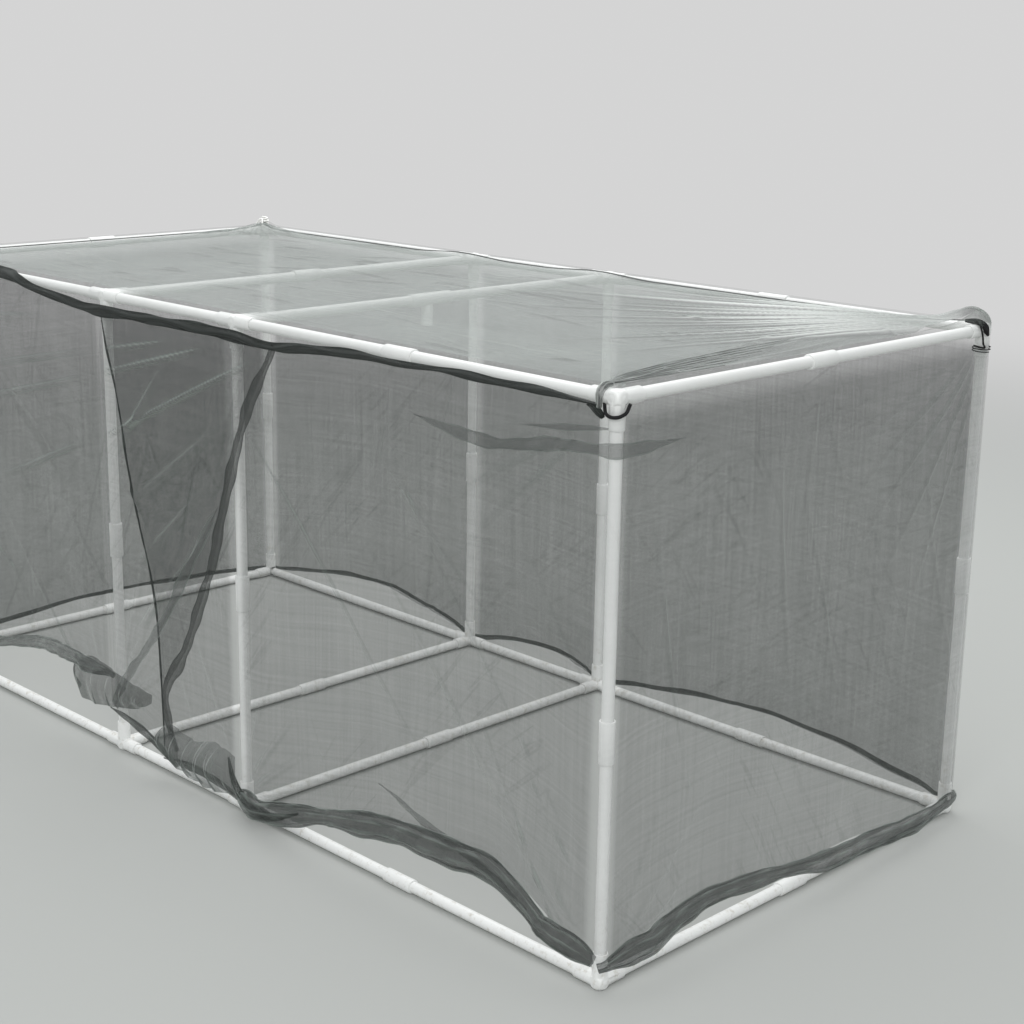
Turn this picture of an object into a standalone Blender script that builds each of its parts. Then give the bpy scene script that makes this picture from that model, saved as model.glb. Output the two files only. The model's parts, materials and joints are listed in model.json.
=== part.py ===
"""Crop cage: a pipe frame that stands over a bed, with a fine net cover drawn over it.

The frame is white plastic pipe pushed into three-way and four-way fittings. It has four
pairs of posts, which make a long left bay, a narrow door bay and a long right bay.
Couplers join two lengths of pipe in each post and in the long rails.
The net is a top sheet, side panels that wrap the posts and end in a rolled hem, and two
door flaps that overlap between the middle posts and lift about the seam above them.

Metres, +Z up, +X to the right along the front, +Y to the back.
The origin is on the ground at the middle of the frame.
"""

from math import cos, pi, radians

import bmesh
import bpy
import numpy as np
from mathutils import Matrix

# Frame, between pipe axes
FRAME_LENGTH = 2.12
FRAME_WIDTH = 0.98
FRAME_HEIGHT = 0.925
LEFT_BAY = 0.79
DOOR_BAY = 0.42

# Pipe, fittings and couplers
PIPE_RADIUS = 0.010
PIPE_WALL = 0.0016
SOCKET_CLEARANCE = 0.0003
SOCKET_WALL = 0.0022
SOCKET_DEPTH = 0.032
SOCKET_WEB = 0.0057
HUB_SWELL = 0.0012
COUPLER_LENGTH = 0.069
COUPLER_WALL = 0.0027
COUPLER_STOP = 0.002
RIM_BEVEL = 0.0008
END_GAP = 0.0003
SIDES = 12
SHARP_ANGLE = radians(35)
MERGE = 1e-6

# Middle of each post's coupler above the bottom rail axis, front row then back row
COUPLER_HEIGHTS = ((0.435, 0.435, 0.421, 0.398), (0.458, 0.432, 0.435, 0.463))
RIGHT_BAY_COUPLER = 0.44
TEE_FROM_FRONT = 0.4625
TEE_LENGTH = 0.105
TEE_STUB = 0.051
STUB_OFFSET = -0.006

# Net
NET_THICKNESS = 0.0008
NET_CLEARANCE = 0.0003
NET_GAP = 0.0006
SEAM_DROP = 0.040
CORNER_SEAM_DROP = 0.015
TOP_SAG = 0.012
HEM_ROLL = 0.009
HEM_HEIGHT_AT_POSTS = 0.012
HEM_ARCH = 0.060
SIDE_HEM_ARCH = 0.030
FOLD_DEPTH = 0.006
FOLD_SPACING = 0.19
FOLD_LEAN = 0.5
FOLD_FADE = 0.12
FOLD_FADE_DOWN = 0.25
FLAP_FOLD_DEPTH = 0.004
FLAP_FOLD_LEAN = 0.35
FLAP_FADE = 0.2
FLAP_LAYER_GAP = 0.003
FLAP_STITCHING = 0.005
OUTER_FLAP_TOP_OVERLAP = 0.11
OUTER_FLAP_FOOT = 0.20
INNER_FLAP_FOOT = 0.19
CORNER_WRAP = radians(75)

# How finely the net is modelled
WRAP_STEPS = 3
PANEL_ROWS = 7
PANEL_COLUMN = 0.06
TOP_COLUMN = 0.13
TOP_ROWS = 9
FLAP_ROWS = 9
FLAP_COLUMNS = 9

# Worked out from the sizes above
BORE_RADIUS = PIPE_RADIUS + SOCKET_CLEARANCE
FITTING_RADIUS = BORE_RADIUS + SOCKET_WALL
COUPLER_RADIUS = BORE_RADIUS + COUPLER_WALL
HUB_RADIUS = FITTING_RADIUS + HUB_SWELL
PIPE_BORE = PIPE_RADIUS - PIPE_WALL
FACET = cos(pi / SIDES)
LOW = COUPLER_RADIUS * FACET
HIGH = LOW + FRAME_HEIGHT
SOCKET_STOP = BORE_RADIUS + SOCKET_WEB
SOCKET_REACH = SOCKET_STOP + SOCKET_DEPTH
PIPE_START = SOCKET_STOP + END_GAP
LEFT = -FRAME_LENGTH / 2
RIGHT = FRAME_LENGTH / 2
FRONT = -FRAME_WIDTH / 2
BACK = FRAME_WIDTH / 2
POST_X = (LEFT, LEFT + LEFT_BAY, LEFT + LEFT_BAY + DOOR_BAY, RIGHT)
ROW_Y = {"front": FRONT, "back": BACK}
COLUMNS = ("left", "mid_left", "mid_right", "right")
NET_OUT = HUB_RADIUS + NET_CLEARANCE + NET_THICKNESS / 2
SEAM_Z = HIGH - SEAM_DROP
WRAP_SWELL = 1 / cos(CORNER_WRAP / WRAP_STEPS / 2)
CORNER_LEAN = cos(CORNER_WRAP) - (NET_GAP + NET_THICKNESS) / NET_OUT
OUTER_FLAP_LAYER = max(FOLD_DEPTH, FLAP_FOLD_DEPTH) + FLAP_LAYER_GAP
FLAP_HINGE_Y = FRONT - NET_OUT - NET_THICKNESS - NET_CLEARANCE
FLAP_HINGE_Z = SEAM_Z + FLAP_STITCHING

AXIS_TURN = {
    "x": Matrix(((0, 0, 1), (1, 0, 0), (0, 1, 0))),
    "y": Matrix(((0, 1, 0), (0, 0, 1), (1, 0, 0))),
    "z": Matrix.Identity(3),
}


def clear_scene():
    for obj in list(bpy.data.objects):
        bpy.data.objects.remove(obj)


def principled(name, color, roughness):
    material = bpy.data.materials.new(name)
    material.use_nodes = True
    shader = material.node_tree.nodes["Principled BSDF"]
    shader.inputs["Base Color"].default_value = (*color, 1)
    shader.inputs["Roughness"].default_value = roughness
    shader.inputs["Metallic"].default_value = 0
    material.diffuse_color = (*color, 1)
    return material


def add_object(name, mesh, material, location=(0, 0, 0), turn=0.0):
    """Puts a mesh in the scene, turned about Z, with its own material."""
    if not mesh.materials:
        mesh.materials.append(material)
    obj = bpy.data.objects.new(name, mesh)
    obj.location = location
    obj.rotation_euler = (0, 0, turn)
    bpy.context.scene.collection.objects.link(obj)
    return obj


def smooth_round(mesh):
    mesh.shade_smooth()
    mesh.set_sharp_from_angle(angle=SHARP_ANGLE)


def turned(name, profile, axis="z", direction=1):
    """A profile of (radius, height) points spun round the chosen axis, as a mesh.

    Flat facets face along the other two axes, so crossing pieces line up.
    """
    bm = bmesh.new()
    points = [bm.verts.new((radius, 0, height)) for radius, height in profile]
    closes = profile[0][0] > 0 or profile[-1][0] > 0
    pairs = list(zip(points, points[1:]))
    if closes:
        pairs.append((points[-1], points[0]))
    edges = [bm.edges.new(pair) for pair in pairs]
    bmesh.ops.rotate(bm, verts=points, cent=(0, 0, 0), matrix=Matrix.Rotation(pi / SIDES, 3, "Z"))
    bmesh.ops.spin(
        bm, geom=points + edges, cent=(0, 0, 0), axis=(0, 0, 1), angle=2 * pi, steps=SIDES,
    )
    bmesh.ops.remove_doubles(bm, verts=bm.verts, dist=MERGE)
    bmesh.ops.transform(bm, verts=bm.verts, matrix=Matrix.Diagonal((1, 1, direction, 1)))
    bmesh.ops.transform(bm, verts=bm.verts, matrix=AXIS_TURN[axis].to_4x4())
    bmesh.ops.recalc_face_normals(bm, faces=bm.faces)
    mesh = bpy.data.meshes.new(name)
    bm.to_mesh(mesh)
    bm.free()
    return mesh


def combine(name, body, joined, cut):
    """The body with other meshes joined on and then others cut away, as one new mesh."""
    helpers = []

    def helper(mesh):
        obj = bpy.data.objects.new("helper", mesh)
        obj.hide_render = True
        obj.display_type = "WIRE"
        bpy.context.scene.collection.objects.link(obj)
        helpers.append(obj)
        return obj

    base = helper(body)
    for operation, meshes in (("UNION", joined), ("DIFFERENCE", cut)):
        for mesh in meshes:
            modifier = base.modifiers.new(operation.lower(), "BOOLEAN")
            modifier.operation = operation
            modifier.object = helper(mesh)
    bpy.context.view_layer.update()
    graph = bpy.context.evaluated_depsgraph_get()
    made = bpy.data.meshes.new_from_object(base.evaluated_get(graph))
    made.name = name
    for obj in helpers:
        bpy.data.objects.remove(obj)
    smooth_round(made)
    return made


def arm(axis, direction):
    """One socket arm's outside, from the hub out to its mouth."""
    outline = ((0, 0), (FITTING_RADIUS, 0), (FITTING_RADIUS, SOCKET_REACH), (0, SOCKET_REACH))
    return turned("arm", outline, axis, direction=direction)


def socket(axis, direction):
    """What is hollow in an arm: the pipe's socket, down to its stop at the hub."""
    past = SOCKET_REACH + SOCKET_WALL
    outline = ((0, SOCKET_STOP), (BORE_RADIUS, SOCKET_STOP), (BORE_RADIUS, past), (0, past))
    return turned("socket", outline, axis, direction=direction)


def hub_ball():
    bm = bmesh.new()
    bmesh.ops.create_uvsphere(bm, u_segments=SIDES, v_segments=SIDES // 2, radius=HUB_RADIUS)
    mesh = bpy.data.meshes.new("hub")
    bm.to_mesh(mesh)
    bm.free()
    return mesh


def below_ground():
    """The block that cuts a bottom fitting's hub flat, level with its arms."""
    bm = bmesh.new()
    bmesh.ops.create_cube(bm, size=4 * SOCKET_REACH)
    bmesh.ops.translate(bm, verts=bm.verts, vec=(0, 0, -LOW - 2 * SOCKET_REACH))
    mesh = bpy.data.meshes.new("ground")
    bm.to_mesh(mesh)
    bm.free()
    return mesh


def fitting_mesh(name, arms, stands):
    """A hub with one socket for each (axis, direction), cut flat below if it stands on the ground."""
    cuts = [socket(*one) for one in arms]
    if stands:
        cuts.append(below_ground())
    return combine(name, hub_ball(), [arm(*one) for one in arms], cuts)


def make_fittings(material):
    """Corners are turned a quarter at a time, and tees a half, from one mould for each level."""
    corner_turns = {
        ("front", "left"): 0,
        ("front", "right"): pi / 2,
        ("back", "right"): pi,
        ("back", "left"): -pi / 2,
    }
    for level, height, up in (("bottom", LOW, 1), ("top", HIGH, -1)):
        stands = level == "bottom"
        corner = fitting_mesh(f"{level}_corner", (("x", 1), ("y", 1), ("z", up)), stands)
        tee = fitting_mesh(f"{level}_tee", (("x", 1), ("x", -1), ("y", 1), ("z", up)), stands)
        for row, y in ROW_Y.items():
            for column, x in zip(COLUMNS, POST_X):
                name = f"{level}_fitting_{row}_{column}"
                if column in ("left", "right"):
                    add_object(name, corner, material, (x, y, height), corner_turns[row, column])
                else:
                    add_object(name, tee, material, (x, y, height), 0 if row == "front" else pi)


def coupler_outside(middle):
    """The outer half of a coupler's section, bevelled at both rims."""
    low = middle - COUPLER_LENGTH / 2
    high = middle + COUPLER_LENGTH / 2
    return [
        (PIPE_RADIUS, low),
        (COUPLER_RADIUS - RIM_BEVEL, low),
        (COUPLER_RADIUS, low + RIM_BEVEL),
        (COUPLER_RADIUS, high - RIM_BEVEL),
        (COUPLER_RADIUS - RIM_BEVEL, high),
    ]


def make_posts(material):
    """Each post is two pipes: the lower one carries the coupler, and the upper one stands in it."""
    for (row, y), heights in zip(ROW_Y.items(), COUPLER_HEIGHTS):
        for column, x, middle in zip(COLUMNS, POST_X, heights):
            upper_foot = middle + COUPLER_STOP / 2
            lower = [
                (PIPE_BORE, PIPE_START),
                (PIPE_RADIUS, PIPE_START),
                *coupler_outside(middle),
                (BORE_RADIUS, middle + COUPLER_LENGTH / 2),
                (BORE_RADIUS, upper_foot),
                (PIPE_BORE, upper_foot),
            ]
            upper = pipe_outline(upper_foot + END_GAP, FRAME_HEIGHT - PIPE_START)
            for part, outline in (("lower", lower), ("upper", upper)):
                mesh = turned(f"post_{part}", outline)
                smooth_round(mesh)
                add_object(f"post_{row}_{column}_{part}", mesh, material, (x, y, LOW))


def pipe_outline(low, high, coupler=None):
    """A pipe's section from low to high, with a coupler round it where one is given."""
    outline = [(PIPE_BORE, low), (PIPE_RADIUS, low)]
    if coupler is not None:
        outline += [*coupler_outside(coupler), (PIPE_RADIUS, coupler + COUPLER_LENGTH / 2)]
    return outline + [(PIPE_RADIUS, high), (PIPE_BORE, high)]


def rail(name, axis, start, length, material, coupler=None):
    """A rail between two fittings whose hubs are length apart, starting at the first hub."""
    mesh = turned(name, pipe_outline(PIPE_START, length - PIPE_START, coupler), axis)
    smooth_round(mesh)
    return add_object(name, mesh, material, start)


def crossbar_with_tee(name, start, material):
    """The crossbar over the right-hand middle posts: a long tee joins its pipes and points down."""
    middle = TEE_FROM_FRONT
    half = TEE_LENGTH / 2
    outline = [
        (PIPE_BORE, PIPE_START),
        (PIPE_RADIUS, PIPE_START),
        (PIPE_RADIUS, middle - half),
        (FITTING_RADIUS - RIM_BEVEL, middle - half),
        (FITTING_RADIUS, middle - half + RIM_BEVEL),
        (FITTING_RADIUS, middle + half - RIM_BEVEL),
        (FITTING_RADIUS - RIM_BEVEL, middle + half),
        (PIPE_RADIUS, middle + half),
        (PIPE_RADIUS, FRAME_WIDTH - PIPE_START),
        (PIPE_BORE, FRAME_WIDTH - PIPE_START),
    ]
    body = turned(name, outline, "y")
    root = PIPE_BORE + PIPE_WALL / 2
    stub_radius = FITTING_RADIUS - HUB_SWELL
    stub_outline = [
        (0, root),
        (stub_radius, root),
        (stub_radius, TEE_STUB - RIM_BEVEL),
        (stub_radius - RIM_BEVEL, TEE_STUB),
        (0, TEE_STUB),
    ]
    past = 2 * TEE_STUB
    stub = turned("stub", stub_outline, direction=-1)
    hollow = turned("hollow", [(0, 0), (PIPE_BORE, 0), (PIPE_BORE, past), (0, past)], direction=-1)
    for mesh in (stub, hollow):
        mesh.transform(Matrix.Translation((0, middle + STUB_OFFSET, 0)))
    return add_object(name, combine(name, body, [stub], [hollow]), material, start)


def make_rails(material):
    bays = list(zip(("left", "door", "right"), POST_X, POST_X[1:]))
    for level, height in (("bottom", LOW), ("top", HIGH)):
        for row, y in ROW_Y.items():
            for bay, x0, x1 in bays:
                coupler = RIGHT_BAY_COUPLER if bay == "right" else None
                rail(f"{level}_rail_{row}_{bay}", "x", (x0, y, height), x1 - x0, material, coupler)
        names = (
            f"{level}_rail_left_end",
            f"{level}_crossbar_mid_left",
            f"{level}_crossbar_mid_right",
            f"{level}_rail_right_end",
        )
        for name, x in zip(names, POST_X):
            if name == "top_crossbar_mid_right":
                crossbar_with_tee(name, (x, FRONT, height), material)
            else:
                rail(name, "y", (x, FRONT, height), FRAME_WIDTH, material, FRAME_WIDTH / 2)


def sheet(name, points, material, location=(0, 0, 0)):
    """A grid of points as a thin closed sheet, with the given points half way through it."""
    rows, columns = points.shape[:2]
    index = np.arange(rows * columns).reshape(rows, columns)
    quads = np.stack([index[:-1, :-1], index[:-1, 1:], index[1:, 1:], index[1:, :-1]], axis=-1)
    corners = (points - np.array(location)).reshape(-1, 3)
    mesh = bpy.data.meshes.new(name)
    mesh.from_pydata(corners.tolist(), [], quads.reshape(-1, 4).tolist())
    mesh.update()
    mesh.shade_smooth()
    obj = add_object(name, mesh, material, location)
    thickness = obj.modifiers.new("thickness", "SOLIDIFY")
    thickness.thickness = NET_THICKNESS
    thickness.offset = 0
    return obj


def bump(value, low, high, fade):
    """One between low and high, falling smoothly to nought over the fade at either end."""
    rise = np.clip((value - low) / fade, 0, 1)
    fall = np.clip((high - value) / fade, 0, 1)
    return (3 * rise**2 - 2 * rise**3) * (3 * fall**2 - 2 * fall**3)


def columns_between(edges, spacing):
    """Evenly spaced places in each bay between the edges, with one at every edge."""
    bays = [
        np.linspace(low, high, max(2, round((high - low) / spacing)) + 1)
        for low, high in zip(edges, edges[1:])
    ]
    return np.concatenate([bay[:-1] for bay in bays] + [bays[-1][-1:]])


def folds(along, height, edges, phase):
    """How far the net's slanting folds stand out: not at all at the posts, seam and hem."""
    wave = 0.5 + 0.5 * np.sin(2 * pi * (along + FOLD_LEAN * height) / FOLD_SPACING + phase)
    free = sum(bump(along, low, high, FOLD_FADE) for low, high in zip(edges, edges[1:]))
    return FOLD_DEPTH * wave**2 * free * bump(height, 0.0, SEAM_Z, FOLD_FADE_DOWN)


def hem_height(along, edges, arch):
    """The hem's height: low at each post in edges, and drawn up into an arch between them."""
    height = np.full_like(along, HEM_HEIGHT_AT_POSTS)
    for low, high in zip(edges, edges[1:]):
        share = np.clip((along - low) / (high - low), 0, 1)
        height = height + arch * np.sin(pi * share) ** 1.5 * ((along > low) & (along < high))
    return height


def seam_height(x):
    """The front seam's height: level over the door bay and its flaps, and rising to the corners."""
    flat_end = POST_X[2] + OUTER_FLAP_TOP_OVERLAP
    left = np.clip((POST_X[1] - x) / LEFT_BAY, 0, 1)
    right = np.clip((x - flat_end) / (RIGHT - flat_end), 0, 1)
    return SEAM_Z + (SEAM_DROP - CORNER_SEAM_DROP) * (left + right) ** 2


def panel(name, base, outward, along, top, edges, arch, phase, material, over_rail=False):
    """A side panel of net.

    base holds the core line's x and y for each column, and outward the level direction
    that the net lies in from there. The panel may start over the rail. It runs straight
    down with its folds, and ends in a hem that curls outwards.
    """
    bottom = hem_height(along, edges, arch)
    heights = top + (bottom - top) * np.linspace(0, 1, PANEL_ROWS)[:, None]
    distance = NET_OUT + folds(along, heights, edges, phase)
    if over_rail:
        lift = np.linspace(CORNER_WRAP, 0, WRAP_STEPS + 1)[:-1, None]
        radius = WRAP_SWELL * NET_OUT * np.ones_like(along)
        distance = np.vstack([radius * np.cos(lift), distance])
        heights = np.vstack([top + radius * np.sin(lift), heights])
    curl = np.radians((55, 110, 165, 230))[:, None]
    roll_out = distance[-1] + HEM_ROLL * (1 - np.cos(curl))
    roll_down = bottom - HEM_ROLL * np.sin(curl)
    distance = np.vstack([distance, roll_out])
    heights = np.vstack([heights, roll_down])
    points = np.empty((*distance.shape, 3))
    points[..., 0] = base[:, 0] + distance * outward[:, 0]
    points[..., 1] = base[:, 1] + distance * outward[:, 1]
    points[..., 2] = heights
    return sheet(name, points, material)


def straight_panel(name, row, edges, phase, material):
    """A panel along the front, under the seam, or along the back, over the rail.

    Its edge at a corner of the frame leans in to the end panel that wraps the post there,
    and its edge at the door keeps clear of the flap beside it.
    """
    y = ROW_Y[row]
    side = -1 if row == "front" else 1
    along = columns_between(edges, PANEL_COLUMN)
    if edges[0] != LEFT:
        along[0] += NET_GAP
    if edges[-1] != RIGHT:
        along[-1] -= NET_GAP
    base = np.stack([along, np.full(len(along), y)], axis=1)
    outward = np.tile((0.0, side), (len(along), 1))
    outward[along == LEFT, 0] = -CORNER_LEAN
    outward[along == RIGHT, 0] = CORNER_LEAN
    top = seam_height(along) - NET_GAP if row == "front" else HIGH
    return panel(
        name, base, outward, along, top, edges, HEM_ARCH, phase, material, over_rail=row == "back",
    )


def end_panel(name, x, side, phase, material):
    """A panel across one end, carried round both corner posts."""
    turn = np.linspace(-CORNER_WRAP, 0, WRAP_STEPS + 1)[:-1]
    straight = columns_between((FRONT, BACK), PANEL_COLUMN)
    y = np.concatenate([np.full(WRAP_STEPS, FRONT), straight, np.full(WRAP_STEPS, BACK)])
    angle = np.concatenate([turn, np.zeros(len(straight)), -turn[::-1]])
    swell = np.where(angle == 0, 1, WRAP_SWELL)
    base = np.stack([np.full(len(y), x), y], axis=1)
    outward = np.stack([side * swell * np.cos(angle), swell * np.sin(angle)], axis=1)
    return panel(
        name, base, outward, y, HIGH, (FRONT, BACK), SIDE_HEM_ARCH, phase, material, over_rail=True,
    )


def top_sheet(material):
    """The top sheet sags in each bay, and wraps the front rail down to the seam."""
    x = columns_between(POST_X, TOP_COLUMN)
    y = np.linspace(FRONT, BACK + NET_OUT * CORNER_LEAN, TOP_ROWS)
    sag = np.zeros_like(x)
    for low, high in zip(POST_X, POST_X[1:]):
        share = np.clip((x - low) / (high - low), 0, 1)
        sag = np.maximum(sag, TOP_SAG * (high - low) * np.sin(pi * share))
    across = np.sin(pi * np.clip((y - FRONT) / FRAME_WIDTH, 0, 1))[:, None]
    flat_z = HIGH + NET_OUT - sag * across
    turn = np.linspace(0, pi / 2, WRAP_STEPS + 2)[:-1, None]
    radius = NET_OUT * np.where(turn == 0, 1, 1 / cos(pi / 4 / (WRAP_STEPS + 1)))
    rows_y = np.concatenate([[FRONT - NET_OUT], FRONT - (radius * np.cos(turn))[:, 0], y])
    rows_z = np.vstack(
        [seam_height(x)[None], (HIGH + radius * np.sin(turn)) * np.ones_like(x), flat_z]
    )
    lean = np.concatenate([[1], np.cos(turn[:, 0]), [0], np.ones(len(y) - 2), [0]])
    points = np.empty((*rows_z.shape, 3))
    points[..., 0] = x
    points[:, 0, 0] -= NET_OUT * CORNER_LEAN * lean
    points[:, -1, 0] += NET_OUT * CORNER_LEAN * lean
    points[..., 1] = rows_y[:, None]
    points[..., 2] = rows_z
    return sheet("net_top", points, material)


def door_flap(name, left_edge, right_edge, top, reach, layer, phase, material):
    """A flap between a left and a right edge, each an (x at the seam, x at the hem) pair.

    It leaves the seam at the given reach in front of the rail, and hangs a layer further out.
    Its origin is on the hinge line, which runs along the outer flap's stitching.
    """
    bottom = HEM_HEIGHT_AT_POSTS + HEM_ROLL
    share = np.linspace(0, 1, FLAP_ROWS)[:, None]
    across = np.linspace(0, 1, FLAP_COLUMNS)[None]
    left = left_edge[0] + (left_edge[1] - left_edge[0]) * share
    right = right_edge[0] + (right_edge[1] - right_edge[0]) * share
    x = left + (right - left) * across
    z = top + (bottom - top) * share
    inset = np.sin(pi * across) * np.sin(pi * share)
    wave = 0.5 + 0.5 * np.sin(2 * pi * (x + FLAP_FOLD_LEAN * z) / FOLD_SPACING + phase)
    out = layer * bump(share, 0, 2, FLAP_FADE) + FLAP_FOLD_DEPTH * wave * inset
    points = np.stack([x, FRONT - reach - out, z * np.ones_like(x)], axis=-1)
    return sheet(name, points, material, (POST_X[1], FLAP_HINGE_Y, FLAP_HINGE_Z))


def make_net(material):
    door_left, door_right = POST_X[1:3]
    top_sheet(material)
    straight_panel("net_front_left", "front", (LEFT, door_left), 0.4, material)
    straight_panel("net_front_right", "front", (door_right, RIGHT), 2.1, material)
    straight_panel("net_back", "back", POST_X, 1.2, material)
    end_panel("net_left_end", LEFT, -1, 2.7, material)
    end_panel("net_right_end", RIGHT, 1, 0.9, material)
    door_flap(
        "door_flap_outer",
        (door_left, door_left),
        (door_right + OUTER_FLAP_TOP_OVERLAP, door_left + OUTER_FLAP_FOOT),
        FLAP_HINGE_Z, FRONT - FLAP_HINGE_Y, OUTER_FLAP_LAYER, 0.5, material,
    )
    door_flap(
        "door_flap_inner",
        (door_left, door_right - INNER_FLAP_FOOT),
        (door_right - NET_GAP, door_right - NET_GAP),
        SEAM_Z - NET_GAP, NET_OUT, 0, 2.6, material,
    )


def main():
    clear_scene()
    pipe_white = principled("pipe_white", (0.86, 0.87, 0.86), 0.38)
    fitting_white = principled("fitting_white", (0.88, 0.89, 0.88), 0.32)
    net_black = principled("net_black", (0.035, 0.04, 0.038), 0.75)
    make_fittings(fitting_white)
    make_posts(pipe_white)
    make_rails(pipe_white)
    make_net(net_black)


main()
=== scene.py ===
"""Crop cage, as it looks: white push-fit pipe under a cover of fine black net.

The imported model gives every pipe, fitting and panel its place. This script gives them their
surfaces: round pipe and moulded fittings, a net cover with its folds, seams, rolled hems and
gathers, the door's two flaps, and the elastic loops and string that hold the corners.
"""

import json
from math import cos, pi, radians, sin

import bpy
import numpy as np
from bpy.props import FloatProperty, FloatVectorProperty, IntProperty, PointerProperty
from mathutils import Matrix, Vector

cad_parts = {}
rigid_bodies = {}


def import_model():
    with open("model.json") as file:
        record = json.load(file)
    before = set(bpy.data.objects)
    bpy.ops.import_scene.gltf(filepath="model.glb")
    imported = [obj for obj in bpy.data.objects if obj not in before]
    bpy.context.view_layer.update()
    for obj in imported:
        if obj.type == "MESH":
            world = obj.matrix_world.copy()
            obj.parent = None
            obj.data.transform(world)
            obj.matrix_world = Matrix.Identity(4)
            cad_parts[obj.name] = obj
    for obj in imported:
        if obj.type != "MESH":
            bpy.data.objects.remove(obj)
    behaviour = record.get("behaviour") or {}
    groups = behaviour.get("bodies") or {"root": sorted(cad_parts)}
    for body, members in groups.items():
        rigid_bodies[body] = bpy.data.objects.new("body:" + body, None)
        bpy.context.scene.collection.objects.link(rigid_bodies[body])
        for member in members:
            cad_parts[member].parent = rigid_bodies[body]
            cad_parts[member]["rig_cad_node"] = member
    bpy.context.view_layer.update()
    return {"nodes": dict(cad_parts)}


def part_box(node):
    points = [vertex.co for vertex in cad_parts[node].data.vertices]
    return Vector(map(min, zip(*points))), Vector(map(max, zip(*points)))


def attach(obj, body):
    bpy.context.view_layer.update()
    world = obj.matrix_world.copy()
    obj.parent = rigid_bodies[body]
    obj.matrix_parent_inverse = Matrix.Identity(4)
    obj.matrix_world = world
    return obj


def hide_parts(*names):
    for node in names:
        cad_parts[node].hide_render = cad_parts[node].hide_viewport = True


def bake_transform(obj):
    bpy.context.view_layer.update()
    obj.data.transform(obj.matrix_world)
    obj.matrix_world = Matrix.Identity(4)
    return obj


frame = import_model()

bl_info = {
    "name": "Crop cage",
    "version": (1, 0, 0),
    "blender": (4, 5, 0),
    "location": "3D View > Sidebar > Crop cage",
    "description": "Builds the surfaces of a pipe crop cage and its net cover",
    "category": "Add Mesh",
}

# Where the frame's axes are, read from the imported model
COLUMNS = ("left", "mid_left", "mid_right", "right")


def middle_of(node):
    """The middle of a node's box."""
    low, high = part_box(node)
    return (low + high) / 2


POST_X = [middle_of(f"post_front_{column}_upper").x for column in COLUMNS]
LEFT, DOOR_LEFT, DOOR_RIGHT, RIGHT = POST_X
FRONT = middle_of("post_front_left_upper").y
BACK = middle_of("post_back_left_upper").y
LOW = middle_of("bottom_rail_front_door").z
HIGH = middle_of("top_rail_front_door").z
LENGTH = RIGHT - LEFT
WIDTH = BACK - FRONT
ROW_Y = {"front": FRONT, "back": BACK}

# A coupler's length, and how far past the door's right-hand post the long rails' couplers are
COUPLER_LENGTH = 0.069
RIGHT_BAY_COUPLER = 0.44

# The tee: its middle's distance from the front, its length, its stub's reach and offset
TEE_FROM_FRONT = 0.4625
TEE_LENGTH = 0.105
TEE_STUB = 0.051
STUB_OFFSET = -0.006

# From a fitting's middle to its mouths and to its sockets' seats, and the gap round a pipe
SOCKET_REACH = 0.048
SOCKET_SEAT = 0.016
CLEARANCE = 0.0003

# Beyond this angle, faces that meet are shaded as an edge
SHARP_ANGLE = radians(32)

# The front seam as (distance from the left post, height over the ground rail) points. It lies
# over the rail's face at the left, dips under the rail at the door and runs close below it from
# there.
FRONT_SEAM = [
    (-0.03, 0.938), (0.15, 0.937), (0.41, 0.932), (0.56, 0.914), (0.70, 0.900), (0.81, 0.897),
    (1.02, 0.901), (1.21, 0.902), (1.33, 0.896), (1.43, 0.906), (1.55, 0.912), (1.69, 0.914),
    (1.83, 0.917), (2.02, 0.915), (2.15, 0.914),
]

# How far under the top rail's axis the front panels' folds start, and the flaps' top edges lie
SEAM_DROP = 0.040
FLAP_DROP = 0.0236

# Hems, as (distance along the side, height over the ground rail) points
FRONT_LEFT_HEM = [
    (-0.03, 0.024), (0.14, 0.064), (0.34, 0.118), (0.53, 0.162), (0.63, 0.170), (0.72, 0.162),
    (0.80, 0.148),
]
FRONT_RIGHT_HEM = [
    (1.20, 0.026), (1.28, 0.032), (1.37, 0.052), (1.55, 0.098), (1.69, 0.120), (1.83, 0.126),
    (1.90, 0.128), (1.97, 0.108), (2.03, 0.083), (2.09, 0.055), (2.15, 0.026),
]
RIGHT_END_HEM = [
    (-0.03, 0.026), (0.02, 0.044), (0.06, 0.060), (0.16, 0.074), (0.30, 0.074), (0.46, 0.054),
    (0.63, 0.043), (0.87, 0.023), (0.95, 0.026), (1.01, 0.024),
]

# How thick each side's rolled hem is between its posts, as a share of a plain one
HEM_SHARES = {
    "net_front_left": 1.5, "net_front_right": 2.2, "net_right_end": 1.7, "net_back": 0.5,
    "net_left_end": 0.5,
}

# How far the creases of each side's net are turned from its length
NET_LEANS = {
    "net_front": radians(48), "net_end": radians(-58), "net_inner": radians(-40),
    "net_far": radians(62),
}


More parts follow.
